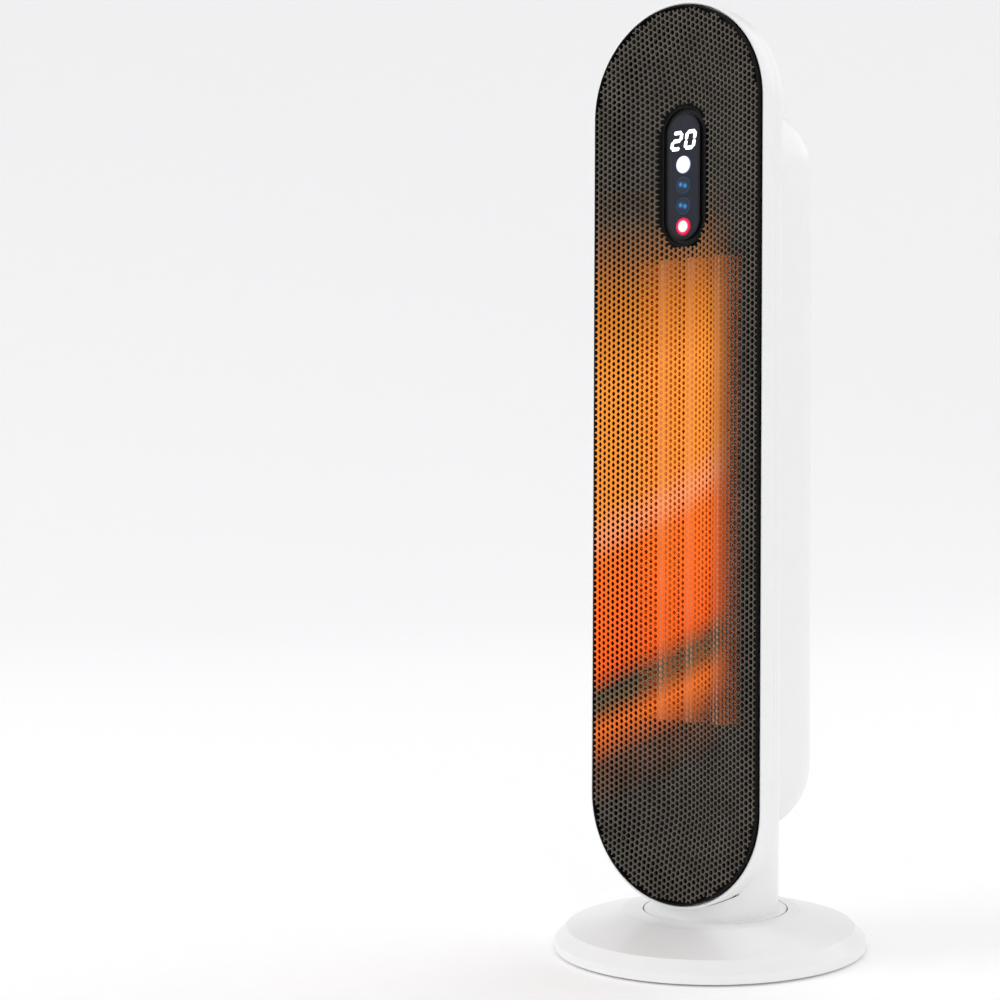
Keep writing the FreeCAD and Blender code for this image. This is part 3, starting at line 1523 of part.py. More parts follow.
def end_plate(label, z, bore):
    """One of the plates that close the ends of the air duct."""
    half = S.heater_half_width - S.duct_wall
    blank = box(f"{label}_blank", (-half, half), (DUCT_FRONT, S.fan_y + S.fan_radius * 0.8), z)
    plate = common(f"{label}_sheet", blank, rear_room(label))
    return cut(label, plate, rod(f"{label}_bore", bore, (z[0] - S.overrun, z[1] + S.overrun), FAN_AXIS))


def upper_bearing():
    """The plain bearing at the top of the fan shaft."""
    ends = (UPPER_PLATE[0], UPPER_PLATE[1] + S.mount_wall)
    return tube("upper_bearing", S.bearing_radius, S.shaft_radius + S.running_gap, ends, FAN_AXIS)


def fan_wheel():
    """The cross-flow fan wheel: end discs, middle discs and a ring of long blades."""
    step = (S.fan_top - S.fan_base - S.fan_disc_wall) / 3
    discs = []
    for number in range(4):
        low = S.fan_base + number * step
        bore = S.shaft_radius + S.thread_gap
        discs.append(tube(f"fan_disc_{number}", S.fan_radius, bore, (low, low + S.fan_disc_wall), FAN_AXIS))
    blades = new("PartDesign::Body", "fan_blades")
    sketch = sketch_on(blades, "fan_blade_outline", "XY_Plane", S.fan_base)
    outer = S.fan_radius - S.thread_gap
    inner = S.fan_radius - S.blade_depth
    draw_outline(
        sketch,
        [
            (inner, S.blade_wall),
            (outer, -2 * S.blade_wall),
            (outer, -S.blade_wall),
            (inner, 2 * S.blade_wall),
        ],
    )
    blade = pad(blades, sketch, S.fan_top - S.fan_base)
    blades.AllowCompound = True
    document.recompute()
    pattern = blades.newObject("PartDesign::PolarPattern", "fan_blade_ring")
    pattern.Originals = [blade]
    pattern.Axis = (sketch, ["N_Axis"])
    pattern.Angle = 360
    bind(pattern, "Occurrences", S.blade_count)
    blades.Tip = pattern
    place(blades, y=S.fan_y)
    return fuse("fan_wheel", blades, *discs)


def fan_shaft():
    """The steel shaft from the motor through the fan wheel to the upper bearing."""
    ends = (S.fan_motor_base + S.mount_wall, UPPER_PLATE[1] + S.running_gap)
    return rod("fan_shaft", S.shaft_radius, ends, FAN_AXIS)


def fan_motor():
    """The fan motor below the air duct."""
    can = rod("fan_motor_can", S.fan_motor_radius, (S.fan_motor_base, MOTOR_TOP), FAN_AXIS)
    bore_ends = (S.fan_motor_base + S.mount_wall - S.gap, MOTOR_TOP + S.overrun)
    return cut("fan_motor", can, rod("fan_motor_bore", S.shaft_radius + S.running_gap, bore_ends, FAN_AXIS))


def motor_pillars():
    """The pillars between the fan motor and the lower end plate."""
    spots = ring_points(S.fan_motor_radius * 0.75, 4, 45.0, S.fan_y)
    pillars = [
        rod(f"motor_pillar_{number}", S.boss_radius - S.thread_gap, (MOTOR_TOP, LOWER_PLATE[0]), spot)
        for number, spot in enumerate(spots)
    ]
    return fuse("motor_pillars", *pillars)


# ---------------------------------------------------------------- electronics

BOARD_BACK = S.power_board_front + S.board_wall


def power_board():
    """The mains circuit board at the top of the tower."""
    half = S.power_board_half_width
    blank = box(
        "power_board_blank",
        (-half, half),
        (S.power_board_front, BOARD_BACK),
        (S.power_board_base, S.power_board_top),
    )
    holes = [
        rod(
            f"board_hole_{number}",
            SCREW_HOLE,
            (S.power_board_front - S.overrun, BOARD_BACK + S.overrun),
            spot,
            "y",
        )
        for number, spot in enumerate(board_spots())
    ]
    return cut("power_board", blank, *holes)


def board_screws():
    """The screws of the power board."""
    screws = [
        screw(
            f"board_screw_{number}",
            spot,
            S.power_board_front - S.head_height,
            BOARD_BACK + S.board_screw_depth,
            "y",
        )
        for number, spot in enumerate(board_spots())
    ]
    return fuse("board_screws", *screws)


def relays():
    """The two relays that switch the heat settings."""
    cans = [
        box(
            f"relay_{number}",
            (x, x + S.relay_width),
            (S.power_board_front - S.relay_depth, S.power_board_front),
            (S.power_board_base + S.relay_width, S.power_board_base + 2 * S.relay_width),
        )
        for number, x in enumerate((-S.relay_width * 1.5, S.relay_width * 0.5))
    ]
    return fuse("relays", *cans)


def mains_capacitor():
    """The suppression capacitor on the power board."""
    ends = (BOARD_BACK, BOARD_BACK + S.relay_depth)
    middle = (S.power_board_base + S.power_board_top) / 2
    return rod("mains_capacitor", S.capacitor_radius, ends, (0, middle), "y")


def tip_over_switch():
    """The tilt switch in the bottom of the tower that cuts the heater off if it falls."""
    outer = S.plate_boss_x - S.head_radius - S.gap
    x = (outer - S.tilt_width, outer)
    y = (S.plate_front, S.plate_front + S.tilt_width)
    return box("tip_over_switch", x, y, (PLATE_ENDS[1], S.fan_motor_base + S.tilt_width))


# ---------------------------------------------------------------- whole heater


def build():
    """Builds every piece and returns them in order."""
    pieces = [
        base_cover(),
        base_plate(),
        rubber_feet(),
        base_screws(),
        base_weight(),
        cable_inlet(),
        turntable_seat(),
        glide_ring(),
        bearing_post(),
        fixed_gear(),
        swivel_washer(),
        neck_column(),
        retaining_plate(),
        retainer_screws(),
        swivel_pinion(),
        swivel_motor(),
        swivel_motor_screws(),
        column_plate(),
        column_screws(),
        front_frame(),
        front_grille(),
        grille_screws(),
        rear_cover(),
        body_screws(),
        intake_grille(),
        display_housing(),
        display_lens(),
        display_module(),
        display_board(),
        key_switches(),
    ]
    for label, number in KEYS.items():
        pieces.append(push_key(label, number))
    pieces += [
        air_baffle(),
        heater_frame(),
        ceramic_bars(),
        radiator_fins(),
        heater_terminals(),
        thermal_cutout(),
        thermal_fuse(),
        scroll_wall(),
        fan_tongue(),
        end_plate("fan_lower_plate", LOWER_PLATE, S.shaft_radius + S.gap),
        end_plate("fan_upper_plate", UPPER_PLATE, S.bearing_radius + S.thread_gap),
        upper_bearing(),
        fan_wheel(),
        fan_shaft(),
        fan_motor(),
        motor_pillars(),
        power_board(),
        board_screws(),
        relays(),
        mains_capacitor(),
        tip_over_switch(),
    ]
    document.recompute()
    return pieces


def check(pieces):
    """Stops if any object failed or any piece is empty or invalid."""
    for thing in document.Objects:
        if "Invalid" in thing.State or "Error" in thing.State:
            raise RuntimeError(f"{thing.Label} failed: {thing.State}")
    for piece in pieces:
        if piece.Shape.isNull() or not piece.Shape.isValid() or not piece.Shape.Solids:
            raise RuntimeError(f"{piece.Label} has no valid shape")


def write(pieces):
    """Writes each piece to its own file."""
    os.makedirs("parts", exist_ok=True)
    for piece in pieces:
        piece.Shape.exportStep(f"parts/{piece.Label}.step")
        print(f"{piece.Label}: {len(piece.Shape.Solids)} solids, {piece.Shape.Volume:.0f} mm3")


ALL_PIECES = build()
check(ALL_PIECES)
write(ALL_PIECES)
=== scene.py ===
"""Looks of the ceramic tower heater: its shells, honeycomb grille, control panel and inner parts.

Lengths are in metres and share the frame of the solid model: the base's centre is on the floor at
the origin, the front faces -Y and Z is up.
"""

import json
import logging
import math
from dataclasses import dataclass, field
from enum import Enum
from typing import ClassVar

import bpy
import numpy as np
from mathutils import Matrix, Vector


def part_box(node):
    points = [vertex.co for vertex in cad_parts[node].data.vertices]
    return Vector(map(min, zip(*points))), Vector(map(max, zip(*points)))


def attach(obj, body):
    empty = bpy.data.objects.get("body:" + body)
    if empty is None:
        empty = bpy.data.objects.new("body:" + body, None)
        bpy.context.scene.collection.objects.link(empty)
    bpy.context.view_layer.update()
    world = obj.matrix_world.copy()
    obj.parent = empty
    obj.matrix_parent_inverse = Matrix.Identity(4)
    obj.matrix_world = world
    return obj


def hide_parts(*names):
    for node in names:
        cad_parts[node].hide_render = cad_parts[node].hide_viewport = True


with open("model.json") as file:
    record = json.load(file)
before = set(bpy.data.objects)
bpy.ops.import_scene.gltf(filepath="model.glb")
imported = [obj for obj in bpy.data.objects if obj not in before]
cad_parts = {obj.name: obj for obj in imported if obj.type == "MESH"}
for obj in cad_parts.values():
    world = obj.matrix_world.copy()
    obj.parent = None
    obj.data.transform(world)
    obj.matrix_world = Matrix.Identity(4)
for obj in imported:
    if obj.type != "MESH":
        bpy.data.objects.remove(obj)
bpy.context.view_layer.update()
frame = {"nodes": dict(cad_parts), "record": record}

LOG = logging.getLogger("heater")
MM = 0.001
# Millimetres: the gap round the control panel, the depth of the grille's side wall, and how far the
# display's figures stand out from the lens.
PANEL_GAP = 0.4
GRILLE_SKIRT = 6.0
PROUD = 0.1
# How much the gloss varies over a surface, how strong its grain is, where on the slow noise its two
# tones begin and end, and how sharp a clear coat is.
GLOSS_SPREAD = 0.15
GRAIN_STRENGTH = 0.35
TONE_EDGES = (0.3, 0.7)
COAT_ROUGHNESS = 0.08


# ---------------------------------------------------------------- colours and nodes


def linear(colour: str) -> tuple[float, float, float, float]:
    """Turns an sRGB hex colour into linear light.

    Args:
        colour: Six hex digits after a hash.

    Returns:
        Red, green, blue and a full alpha.
    """
    parts = [int(colour[at : at + 2], 16) / 255.0 for at in (1, 3, 5)]
    light = [c / 12.92 if c <= 0.04045 else ((c + 0.055) / 1.055) ** 2.4 for c in parts]
    return (light[0], light[1], light[2], 1.0)


def add_node(
    tree: bpy.types.NodeTree, kind: str, settings: dict | None = None, links: dict | None = None
) -> bpy.types.Node:
    """Adds a node with its settings and what feeds it.

    Args:
        tree: The node tree.
        kind: The node's type name.
        settings: Values by property name or input name.
        links: Output sockets by input name.

    Returns:
        The new node.
    """
    node = tree.nodes.new(kind)
    for name, value in (settings or {}).items():
        if name in node.inputs:
            node.inputs[name].default_value = value
        else:
            setattr(node, name, value)
    for name, socket in (links or {}).items():
        tree.links.new(socket, node.inputs[name])
    return node


class Glow(Enum):
    """Where a finish takes its own light from."""

    NONE = "none"
    EVEN = "even"
    PAINTED = "painted"


@dataclass(frozen=True)
class Finish:
    """A real material: its two tones, its gloss and the grain of its surface."""

    name: str
    tone: str
    shade: str
    roughness: float = 0.4
    metallic: float = 0.0
    coat: float = 0.0
    specular: float = 0.5
    grain_mm: float = 0.6
    mottle_mm: float = 18.0
    bump_mm: float = 0.01
    stretch: tuple[float, float, float] = (1.0, 1.0, 1.0)
    glow: Glow = Glow.NONE
    glow_tone: str = "#ffffff"
    glow_strength: float = 0.0
    dim_at: float = 0.22
    dim_most: float = 0.85

    def material(self) -> bpy.types.Material:
        """Builds the material the first time it is asked for.

        Returns:
            The material of this finish.
        """
        found = bpy.data.materials.get(self.name)
        if found:
            return found
        made = bpy.data.materials.new(self.name)
        made.use_nodes = True
        tree = made.node_tree
        tree.nodes.clear()
        where = add_node(tree, "ShaderNodeTexCoord").outputs["Object"]
        turned = add_node(
            tree, "ShaderNodeMapping", {"Scale": self.stretch}, {"Vector": where}
        ).outputs["Vector"]
        mottle = add_node(
            tree,
            "ShaderNodeTexNoise",
            {"Scale": 1.0 / (self.mottle_mm * MM), "Detail": 3.0},
            {"Vector": turned},
        ).outputs["Fac"]
        grain = add_node(
            tree,
            "ShaderNodeTexNoise",
            {"Scale": 1.0 / (self.grain_mm * MM), "Detail": 2.0},
            {"Vector": turned},
        ).outputs["Fac"]
        bump = add_node(
            tree,
            "ShaderNodeBump",
            {"Strength": GRAIN_STRENGTH, "Distance": self.bump_mm * MM},
            {"Height": grain},
        ).outputs["Normal"]
        rough = add_node(
            tree,
            "ShaderNodeMapRange",
            {
                "To Min": self.roughness * (1.0 - GLOSS_SPREAD),
                "To Max": self.roughness * (1.0 + GLOSS_SPREAD),
            },
            {"Value": mottle},
        ).outputs["Result"]
        shader = add_node(
            tree,
            "ShaderNodeBsdfPrincipled",
            {
                "Metallic": self.metallic,
                "Coat Weight": self.coat,
                "Coat Roughness": COAT_ROUGHNESS,
                "Specular IOR Level": self.specular,
            },
            {"Roughness": rough, "Normal": bump, "Base Color": self._colour(tree, mottle)},
        )
        if self.glow is Glow.PAINTED:
            # Painted light read from the mesh: it shines as emission and darkens the base colour.
            painted = add_node(tree, "ShaderNodeAttribute", {"attribute_name": "painted_light"})
            self._darken(tree, shader, painted)
            tree.links.new(painted.outputs["Color"], shader.inputs["Emission Color"])
            shader.inputs["Emission Strength"].default_value = self.glow_strength
        elif self.glow is Glow.EVEN:
            shader.inputs["Emission Color"].default_value = linear(self.glow_tone)
            shader.inputs["Emission Strength"].default_value = self.glow_strength
        add_node(tree, "ShaderNodeOutputMaterial", links={"Surface": shader.outputs["BSDF"]})
        return made

    def _darken(self, tree: bpy.types.NodeTree, shader: bpy.types.Node, painted: bpy.types.Node) -> None:
        """Lets the base colour sink towards black where the painted light is strong.

        Args:
            tree: The node tree.
            shader: The surface's shader, with its base colour already linked.
            painted: The node that reads the painted light.
        """
        share = add_node(
            tree,
            "ShaderNodeMapRange",
            {"From Max": self.dim_at, "To Max": self.dim_most},
            {"Value": painted.outputs["Fac"]},
        )
        mix = add_node(tree, "ShaderNodeMix", {"data_type": "RGBA"})
        tree.links.new(share.outputs["Result"], mix.inputs[0])
        tree.links.new(shader.inputs["Base Color"].links[0].from_socket, mix.inputs[6])
        mix.inputs[7].default_value = (0.0, 0.0, 0.0, 1.0)
        tree.links.new(mix.outputs[2], shader.inputs["Base Color"])

    def _colour(self, tree: bpy.types.NodeTree, mottle: bpy.types.NodeSocket) -> bpy.types.NodeSocket:
        """Mixes the two tones by the slow noise.

        Args:
            tree: The node tree.
            mottle: The slow noise.

        Returns:
            The mixed colour's socket.
        """
        ramp = add_node(tree, "ShaderNodeValToRGB", links={"Fac": mottle})
        for stop, place, tone in zip(ramp.color_ramp.elements, TONE_EDGES, (self.shade, self.tone)):
            stop.position = place
            stop.color = linear(tone)
        return ramp.outputs["Color"]


# Injection-moulded ABS, satin tool: an even bright white whose reflections are broad and soft.
WHITE_ABS = Finish("satin moulded ABS", "#f4f4f3", "#f2f2f1", 0.3, coat=0.1, grain_mm=1.4, bump_mm=0.004)
# Painted, punched and pressed steel, black under a satin face: its warm grey-brown tone is painted light, the
# look of that satin under bright light, and it takes up the heater's painted light.
LIT_GRILLE_STEEL = Finish(
    "lit satin enamelled steel", "#625c53", "#504a42", 0.62, specular=0.2, glow=Glow.PAINTED, glow_strength=1.3
)
# A near-black shaded copy of the same enamel: painted shade where it turns in round the panel, at the
# grille's rim and behind its outer cells.
SHADOW_STEEL = Finish("shaded enamelled steel", "#0b0a0a", "#070707", 0.7, specular=0.15)
# Textured polypropylene: matt mid grey with a fine leather-like grain.
GREY_PP = Finish("grained polypropylene", "#7c7d7f", "#707173", 0.5)
# Turned acetal: waxy off-white with a faint lathe grain.
ACETAL = Finish("turned acetal", "#e9e6dc", "#ddd9cd", 0.38, stretch=(1.0, 1.0, 6.0))
# Moulded nitrile rubber: near-black, dull.
RUBBER = Finish("moulded nitrile rubber", "#232323", "#1a1a1a", 0.8, specular=0.3)
# Grey cast iron, painted: rough and mottled.
IRON = Finish("painted cast iron", "#4c4e50", "#3d3f41", 0.6, metallic=0.3, grain_mm=1.2, bump_mm=0.05)
# Bright zinc on steel: bluish, slightly cloudy shine.
ZINC = Finish("zinc-plated steel", "#c8cdd2", "#b3b8bd", 0.3, metallic=1.0)
# Smoked polycarbonate over a dark print: a deep navy gloss.
LENS = Finish("smoked polycarbonate", "#22242f", "#1e202a", 0.4, specular=0.18, bump_mm=0.002)
# Black ABS of the panel's housing.
DARK_ABS = Finish("dark moulded ABS", "#101014", "#0c0c0f", 0.5, specular=0.2)
# Lit diffusing acrylic of the display.
LIT_ACRYLIC = Finish(
    "lit opal acrylic", "#ffffff", "#f4f6ff", 0.4, glow=Glow.EVEN, glow_tone="#f6f8ff", glow_strength=1.6
)
# Glass-fibre board under green resist.
BOARD = Finish("resist-coated glass fibre", "#1f5a38", "#184a2d", 0.35, coat=0.3)
# Black polyamide of switches and connectors.
NYLON = Finish("black polyamide", "#202022", "#19191b", 0.45)
# Translucent key caps, lit from behind: their light is painted ring by ring.
KEY_CAP = Finish(
    "back-lit polycarbonate", "#1f212c", "#1b1d27", 0.4, specular=0.2, glow=Glow.PAINTED, glow_strength=1.4
)
# Pressed mica board: golden-brown flakes.
MICA = Finish("pressed mica", "#a58c5c", "#8a7346", 0.5, grain_mm=2.0, bump_mm=0.03)
# Fired barium titanate: warm grey-white, with a painted dull orange glow.
CERAMIC = Finish(
    "fired heater ceramic", "#b9aa98", "#a39482", 0.7, glow=Glow.EVEN, glow_tone="#ff7a22", glow_strength=0.3
)
# Rolled aluminium fins: their orange tone and their orange glow are painted heater light.
ALUMINIUM = Finish(
    "rolled aluminium",
    "#c98d62",
    "#b0764c",
    0.55,
    metallic=1.0,
    glow=Glow.EVEN,
    glow_tone="#ff6a18",
    glow_strength=0.12,
)
# Electrical steel laminations, lightly oiled.
MOTOR_STEEL = Finish(
    "laminated motor steel", "#8c9095", "#74787c", 0.4, metallic=0.9, stretch=(1.0, 1.0, 12.0)
)
# Blue PBT of the relay cans.
RELAY_PBT = Finish("blue polybutylene", "#2b63b5", "#255697", 0.42)
# Glass-filled polypropylene of the fan and the air duct.
FAN_PP = Finish("glass-filled polypropylene", "#1b1c1e", "#141517", 0.65, specular=0.25)
# Translucent white paper of the studio's sweep, lit a little from behind so that it stays white.
PAPER = Finish(
    "pale paper floor", "#fbfbfb", "#f8f8f8", 0.7, specular=0.2, glow=Glow.EVEN, glow_strength=0.12
)

SLOT_FINISH: dict[str, Finish] = {
    "white_shell": WHITE_ABS,
    "black_grille": LIT_GRILLE_STEEL,
    "grey_plastic": GREY_PP,
    "acetal": ACETAL,
    "foot_rubber": RUBBER,
    "ballast_steel": IRON,
    "screw_steel": ZINC,
    "panel_lens": LENS,
    "panel_housing": DARK_ABS,
    "display_digits": NYLON,
    "circuit_board": BOARD,
    "switch_black": NYLON,
    "key_red": KEY_CAP,
    "key_blue": KEY_CAP,
    "key_white": KEY_CAP,
    "heater_mica": MICA,
    "heater_ceramic": CERAMIC,
    "fin_aluminium": ALUMINIUM,
    "motor_steel": MOTOR_STEEL,
    "relay_blue": RELAY_PBT,
    "fan_plastic": FAN_PP,
}


# ---------------------------------------------------------------- surfaces


def make_piece(
    name: str,
    points: np.ndarray,
    faces: list[np.ndarray],
    body: str,
    finish: Finish,
    stands_for: tuple[str, ...] = (),
    crease: float = 32.0,
    painted_light: np.ndarray | None = None,
) -> bpy.types.Object:
    """Makes a mesh piece in the model's frame and ties it to its body.

    Args:
        name: The piece's name.
        points: Corners as rows of X, Y and Z in metres.
        faces: Arrays of corner numbers, one array for each count of corners.
        body: The body it rides on.
        finish: Its finish.
        stands_for: The solid nodes it replaces.
        crease: Edges sharper than this many degrees stay sharp.
        painted_light: Painted light as linear colours, one row of four for each point.

    Returns:
        The new object.
    """
    mesh = bpy.data.meshes.new(name)
    rows = [row for group in faces for row in group.tolist()]
    mesh.from_pydata(points.tolist(), [], rows)
    mesh.validate()
    mesh.update()
    mesh.shade_smooth()
    mesh.set_sharp_from_angle(angle=math.radians(crease))
    if painted_light is not None:
        layer = mesh.color_attributes.new("painted_light", "FLOAT_COLOR", "POINT")
        layer.data.foreach_set("color", painted_light.astype(np.float32).ravel())
    piece = bpy.data.objects.new(name, mesh)
    bpy.context.scene.collection.objects.link(piece)
    mesh.materials.append(finish.material())
    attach(piece, body)
    if stands_for:
        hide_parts(*stands_for)
    LOG.info("%s: %d points, %d faces", name, len(points), len(rows))
    return piece


def ring_faces(rows: int, columns: int) -> np.ndarray:
    """Quads of a grid that closes on itself both ways.

    Args:
        rows: Points round the closed profile.
        columns: Points round the path.

    Returns:
        Corner numbers, four to a row; point (r, c) has number r * columns + c.
    """
    row, column = np.meshgrid(np.arange(rows), np.arange(columns), indexing="ij")
    down, right = (row + 1) % rows, (column + 1) % columns
    corners = (row * columns + column, row * columns + right, down * columns + right, down * columns + column)
    return np.stack([c.ravel() for c in corners], axis=1)


def softened(outline: list[tuple[float, float, float]], steps: int = 5) -> np.ndarray:
    """Rounds the corners of a closed outline.

    Each corner is replaced by a quadratic curve between the points one rounding before and after it.

    Args:
        outline: Two coordinates and a rounding for each corner, in millimetres.
        steps: Points on each rounded corner.

    Returns:
        The outline's points as rows of two.
    """
    corners = np.array([c[:2] for c in outline])
    reach = np.array([c[2] for c in outline])[:, None]
    before, after = np.roll(corners, 1, axis=0) - corners, np.roll(corners, -1, axis=0) - corners
    start = corners + before / np.linalg.norm(before, axis=1, keepdims=True) * reach
    stop = corners + after / np.linalg.norm(after, axis=1, keepdims=True) * reach
    t = np.linspace(0.0, 1.0, steps)[None, :, None]
    curve = (1 - t) ** 2 * start[:, None] + 2 * t * (1 - t) * corners[:, None] + t**2 * stop[:, None]
    flat = curve.reshape(-1, 2)
    keep = np.linalg.norm(flat - np.roll(flat, 1, axis=0), axis=1) > 1e-4
    return flat[keep]


@dataclass
class Stadium:
    """An upright outline of two half circles joined by straight sides, in millimetres."""

    half_width: float
    half_height: float
    middle: float

    @classmethod
    def of(cls, node: str, grow: float = 0.0) -> "Stadium":
        """The outline of a solid node's box seen from the front.

        Args:
            node: The solid node.
            grow: Millimetres added on all sides.

        Returns:
            The outline.
        """
        low, high = (np.array(corner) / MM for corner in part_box(node))
        middle = float(low[2] + high[2]) / 2
        return cls(float(high[0] - low[0]) / 2 + grow, float(high[2] - low[2]) / 2 + grow, middle)

    def inside(self, x: np.ndarray, z: np.ndarray) -> np.ndarray:
        """Distance in from the outline, negative outside: the radius less the distance to the spine."""
        spine = np.maximum(np.abs(z - self.middle) - (self.half_height - self.half_width), 0.0)
        return self.half_width - np.hypot(x, spine)

    def held_in(self, x: np.ndarray, z: np.ndarray, margin: float) -> tuple[np.ndarray, np.ndarray]:
        """Moves points nearer to the outline than the margin straight in, towards the spine.

        Args:
            x: X of each point, in millimetres.
            z: Z of each point.
            margin: The least distance in from the outline.

        Returns:
            X and Z of each point, moved where it was too near.
        """
        reach = self.half_height - self.half_width
        spine = np.clip(z, self.middle - reach, self.middle + reach)
        away = np.maximum(np.hypot(x, z - spine), 1e-9)
        scale = np.minimum(1.0, (self.half_width - margin) / away)
        return x * scale, spine + (z - spine) * scale

    def sweep(self, profile: np.ndarray, around: int = 96) -> tuple[np.ndarray, np.ndarray]:
        """Carries a closed profile round the outline.

        A point is the end circle's centre plus (half width less inset) times the outward direction.

        Args:
            profile: Rows of inset from the outline and Y, in millimetres.
            around: Points on each half circle.

        Returns:
            Points in metres and the quads between them.
        """
        top = np.linspace(0.0, math.pi, around)
        angle = np.concatenate([top, top + math.pi])
        lift = np.concatenate([np.ones(around), -np.ones(around)]) * (self.half_height - self.half_width)
        radius = self.half_width - profile[:, :1]
        x = radius * np.cos(angle)[None]
        z = self.middle + lift[None] + radius * np.sin(angle)[None]
        y = np.repeat(profile[:, 1:], len(angle), axis=1)
        points = np.stack([x, y, z], axis=2).reshape(-1, 3) * MM
        return points, ring_faces(len(profile), len(angle))


def facing_out(points: np.ndarray, faces: list[np.ndarray]) -> list[np.ndarray]:
    """Turns all faces round if the closed surface holds a negative volume.

    The volume is the sum of a sixth of a . (b x c) over the triangles.

    Args:
        points: Corners.
        faces: Arrays of corner numbers.

    Returns:
        The same faces, facing outwards.
    """
    volume = 0.0
    for group in faces:
        for last in range(2, group.shape[1]):
            a, b, c = points[group[:, 0]], points[group[:, last - 1]], points[group[:, last]]
            volume += float(np.einsum("ij,ij->i", a, np.cross(b, c)).sum())
    return faces if volume > 0 else [group[:, ::-1] for group in faces]


# ---------------------------------------------------------------- front: frame and grille


@dataclass
class FrontFrame:
    """The white ring round the grille, with its rounded lip and the ledge behind it."""

    outline: Stadium
    front: float
    seam: float
    opening: float = 2.3
    ledge: float = 12.0
    ledge_depth: float = 3.8
    wall: float = 2.5
    seam_round: float = 0.4
    lip_round: float = 1.05
    mouth_round: float = 1.0
    corner_round: float = 0.1
    ledge_round: float = 0.3
    inner_round: float = 0.2

    def build(self) -> None:
        """Carries the frame's section round the stadium."""
        ledge_front = self.front + self.ledge_depth
        section = softened(
            [
                (0.0, self.seam, self.seam_round),
                (0.0, self.front, self.lip_round),
                (self.opening, self.front, self.mouth_round),
                (self.opening, ledge_front, self.corner_round),
                (self.ledge, ledge_front, self.ledge_round),
                (self.ledge, ledge_front + self.wall, self.ledge_round),
                (self.wall, ledge_front + self.wall, self.inner_round),
                (self.wall, self.seam, self.inner_round),
            ]
        )
        points, quads = self.outline.sweep(section)
        faces = facing_out(points, [quads])
        make_piece("frame_shell", points, faces, "tower", WHITE_ABS, ("front_frame",))


@dataclass
class PaintedHeaterLight:
    """Painted heater light on the grille: glowing bands that slope up to the right and fade at the right
    side.

    The slope dies out over the levels given, so that the light's top edge is level.
    """

    slope: float = 0.5
    level_out: tuple[float, float] = (330.0, 450.0)
    fade: tuple[float, float] = (16.0, 48.0)
    stops: list[tuple[float, str]] = field(
        default_factory=lambda: [
            (120.0, "#000000"),
            (150.0, "#4a2108"),
            (174.0, "#d8641c"),
            (188.0, "#5a3a14"),
            (198.0, "#2c2a12"),
            (214.0, "#e0540c"),
            (250.0, "#f6600e"),
            (285.0, "#f06812"),
            (303.0, "#f08c58"),
            (322.0, "#e8862a"),
            (390.0, "#e88a2a"),
            (430.0, "#c0701c"),
            (460.0, "#7a4614"),
            (485.0, "#33200c"),
            (512.0, "#000000"),
        ]
    )

    def at(self, x: np.ndarray, z: np.ndarray) -> np.ndarray:
        """Painted light at each place: the stops along Z less the slope times X, times the fade across X.

        Args:
            x: X of each place, in millimetres.
            z: Z of each place.

        Returns:
            Linear colours, one row of four for each place.
        """
        tilt = np.interp(z, self.level_out, (self.slope, 0.0))
        along = z - tilt * x
        places = [stop[0] for stop in self.stops]
        tones = np.array([linear(stop[1]) for stop in self.stops])
        light = np.stack([np.interp(along, places, tones[:, c]) for c in range(3)], axis=1)
        part = np.clip((self.fade[1] - x) / (self.fade[1] - self.fade[0]), 0.0, 1.0)
        part = part * part * (3.0 - 2.0 * part)
        return np.concatenate([light * part[:, None], np.ones((len(x), 1))], axis=1)


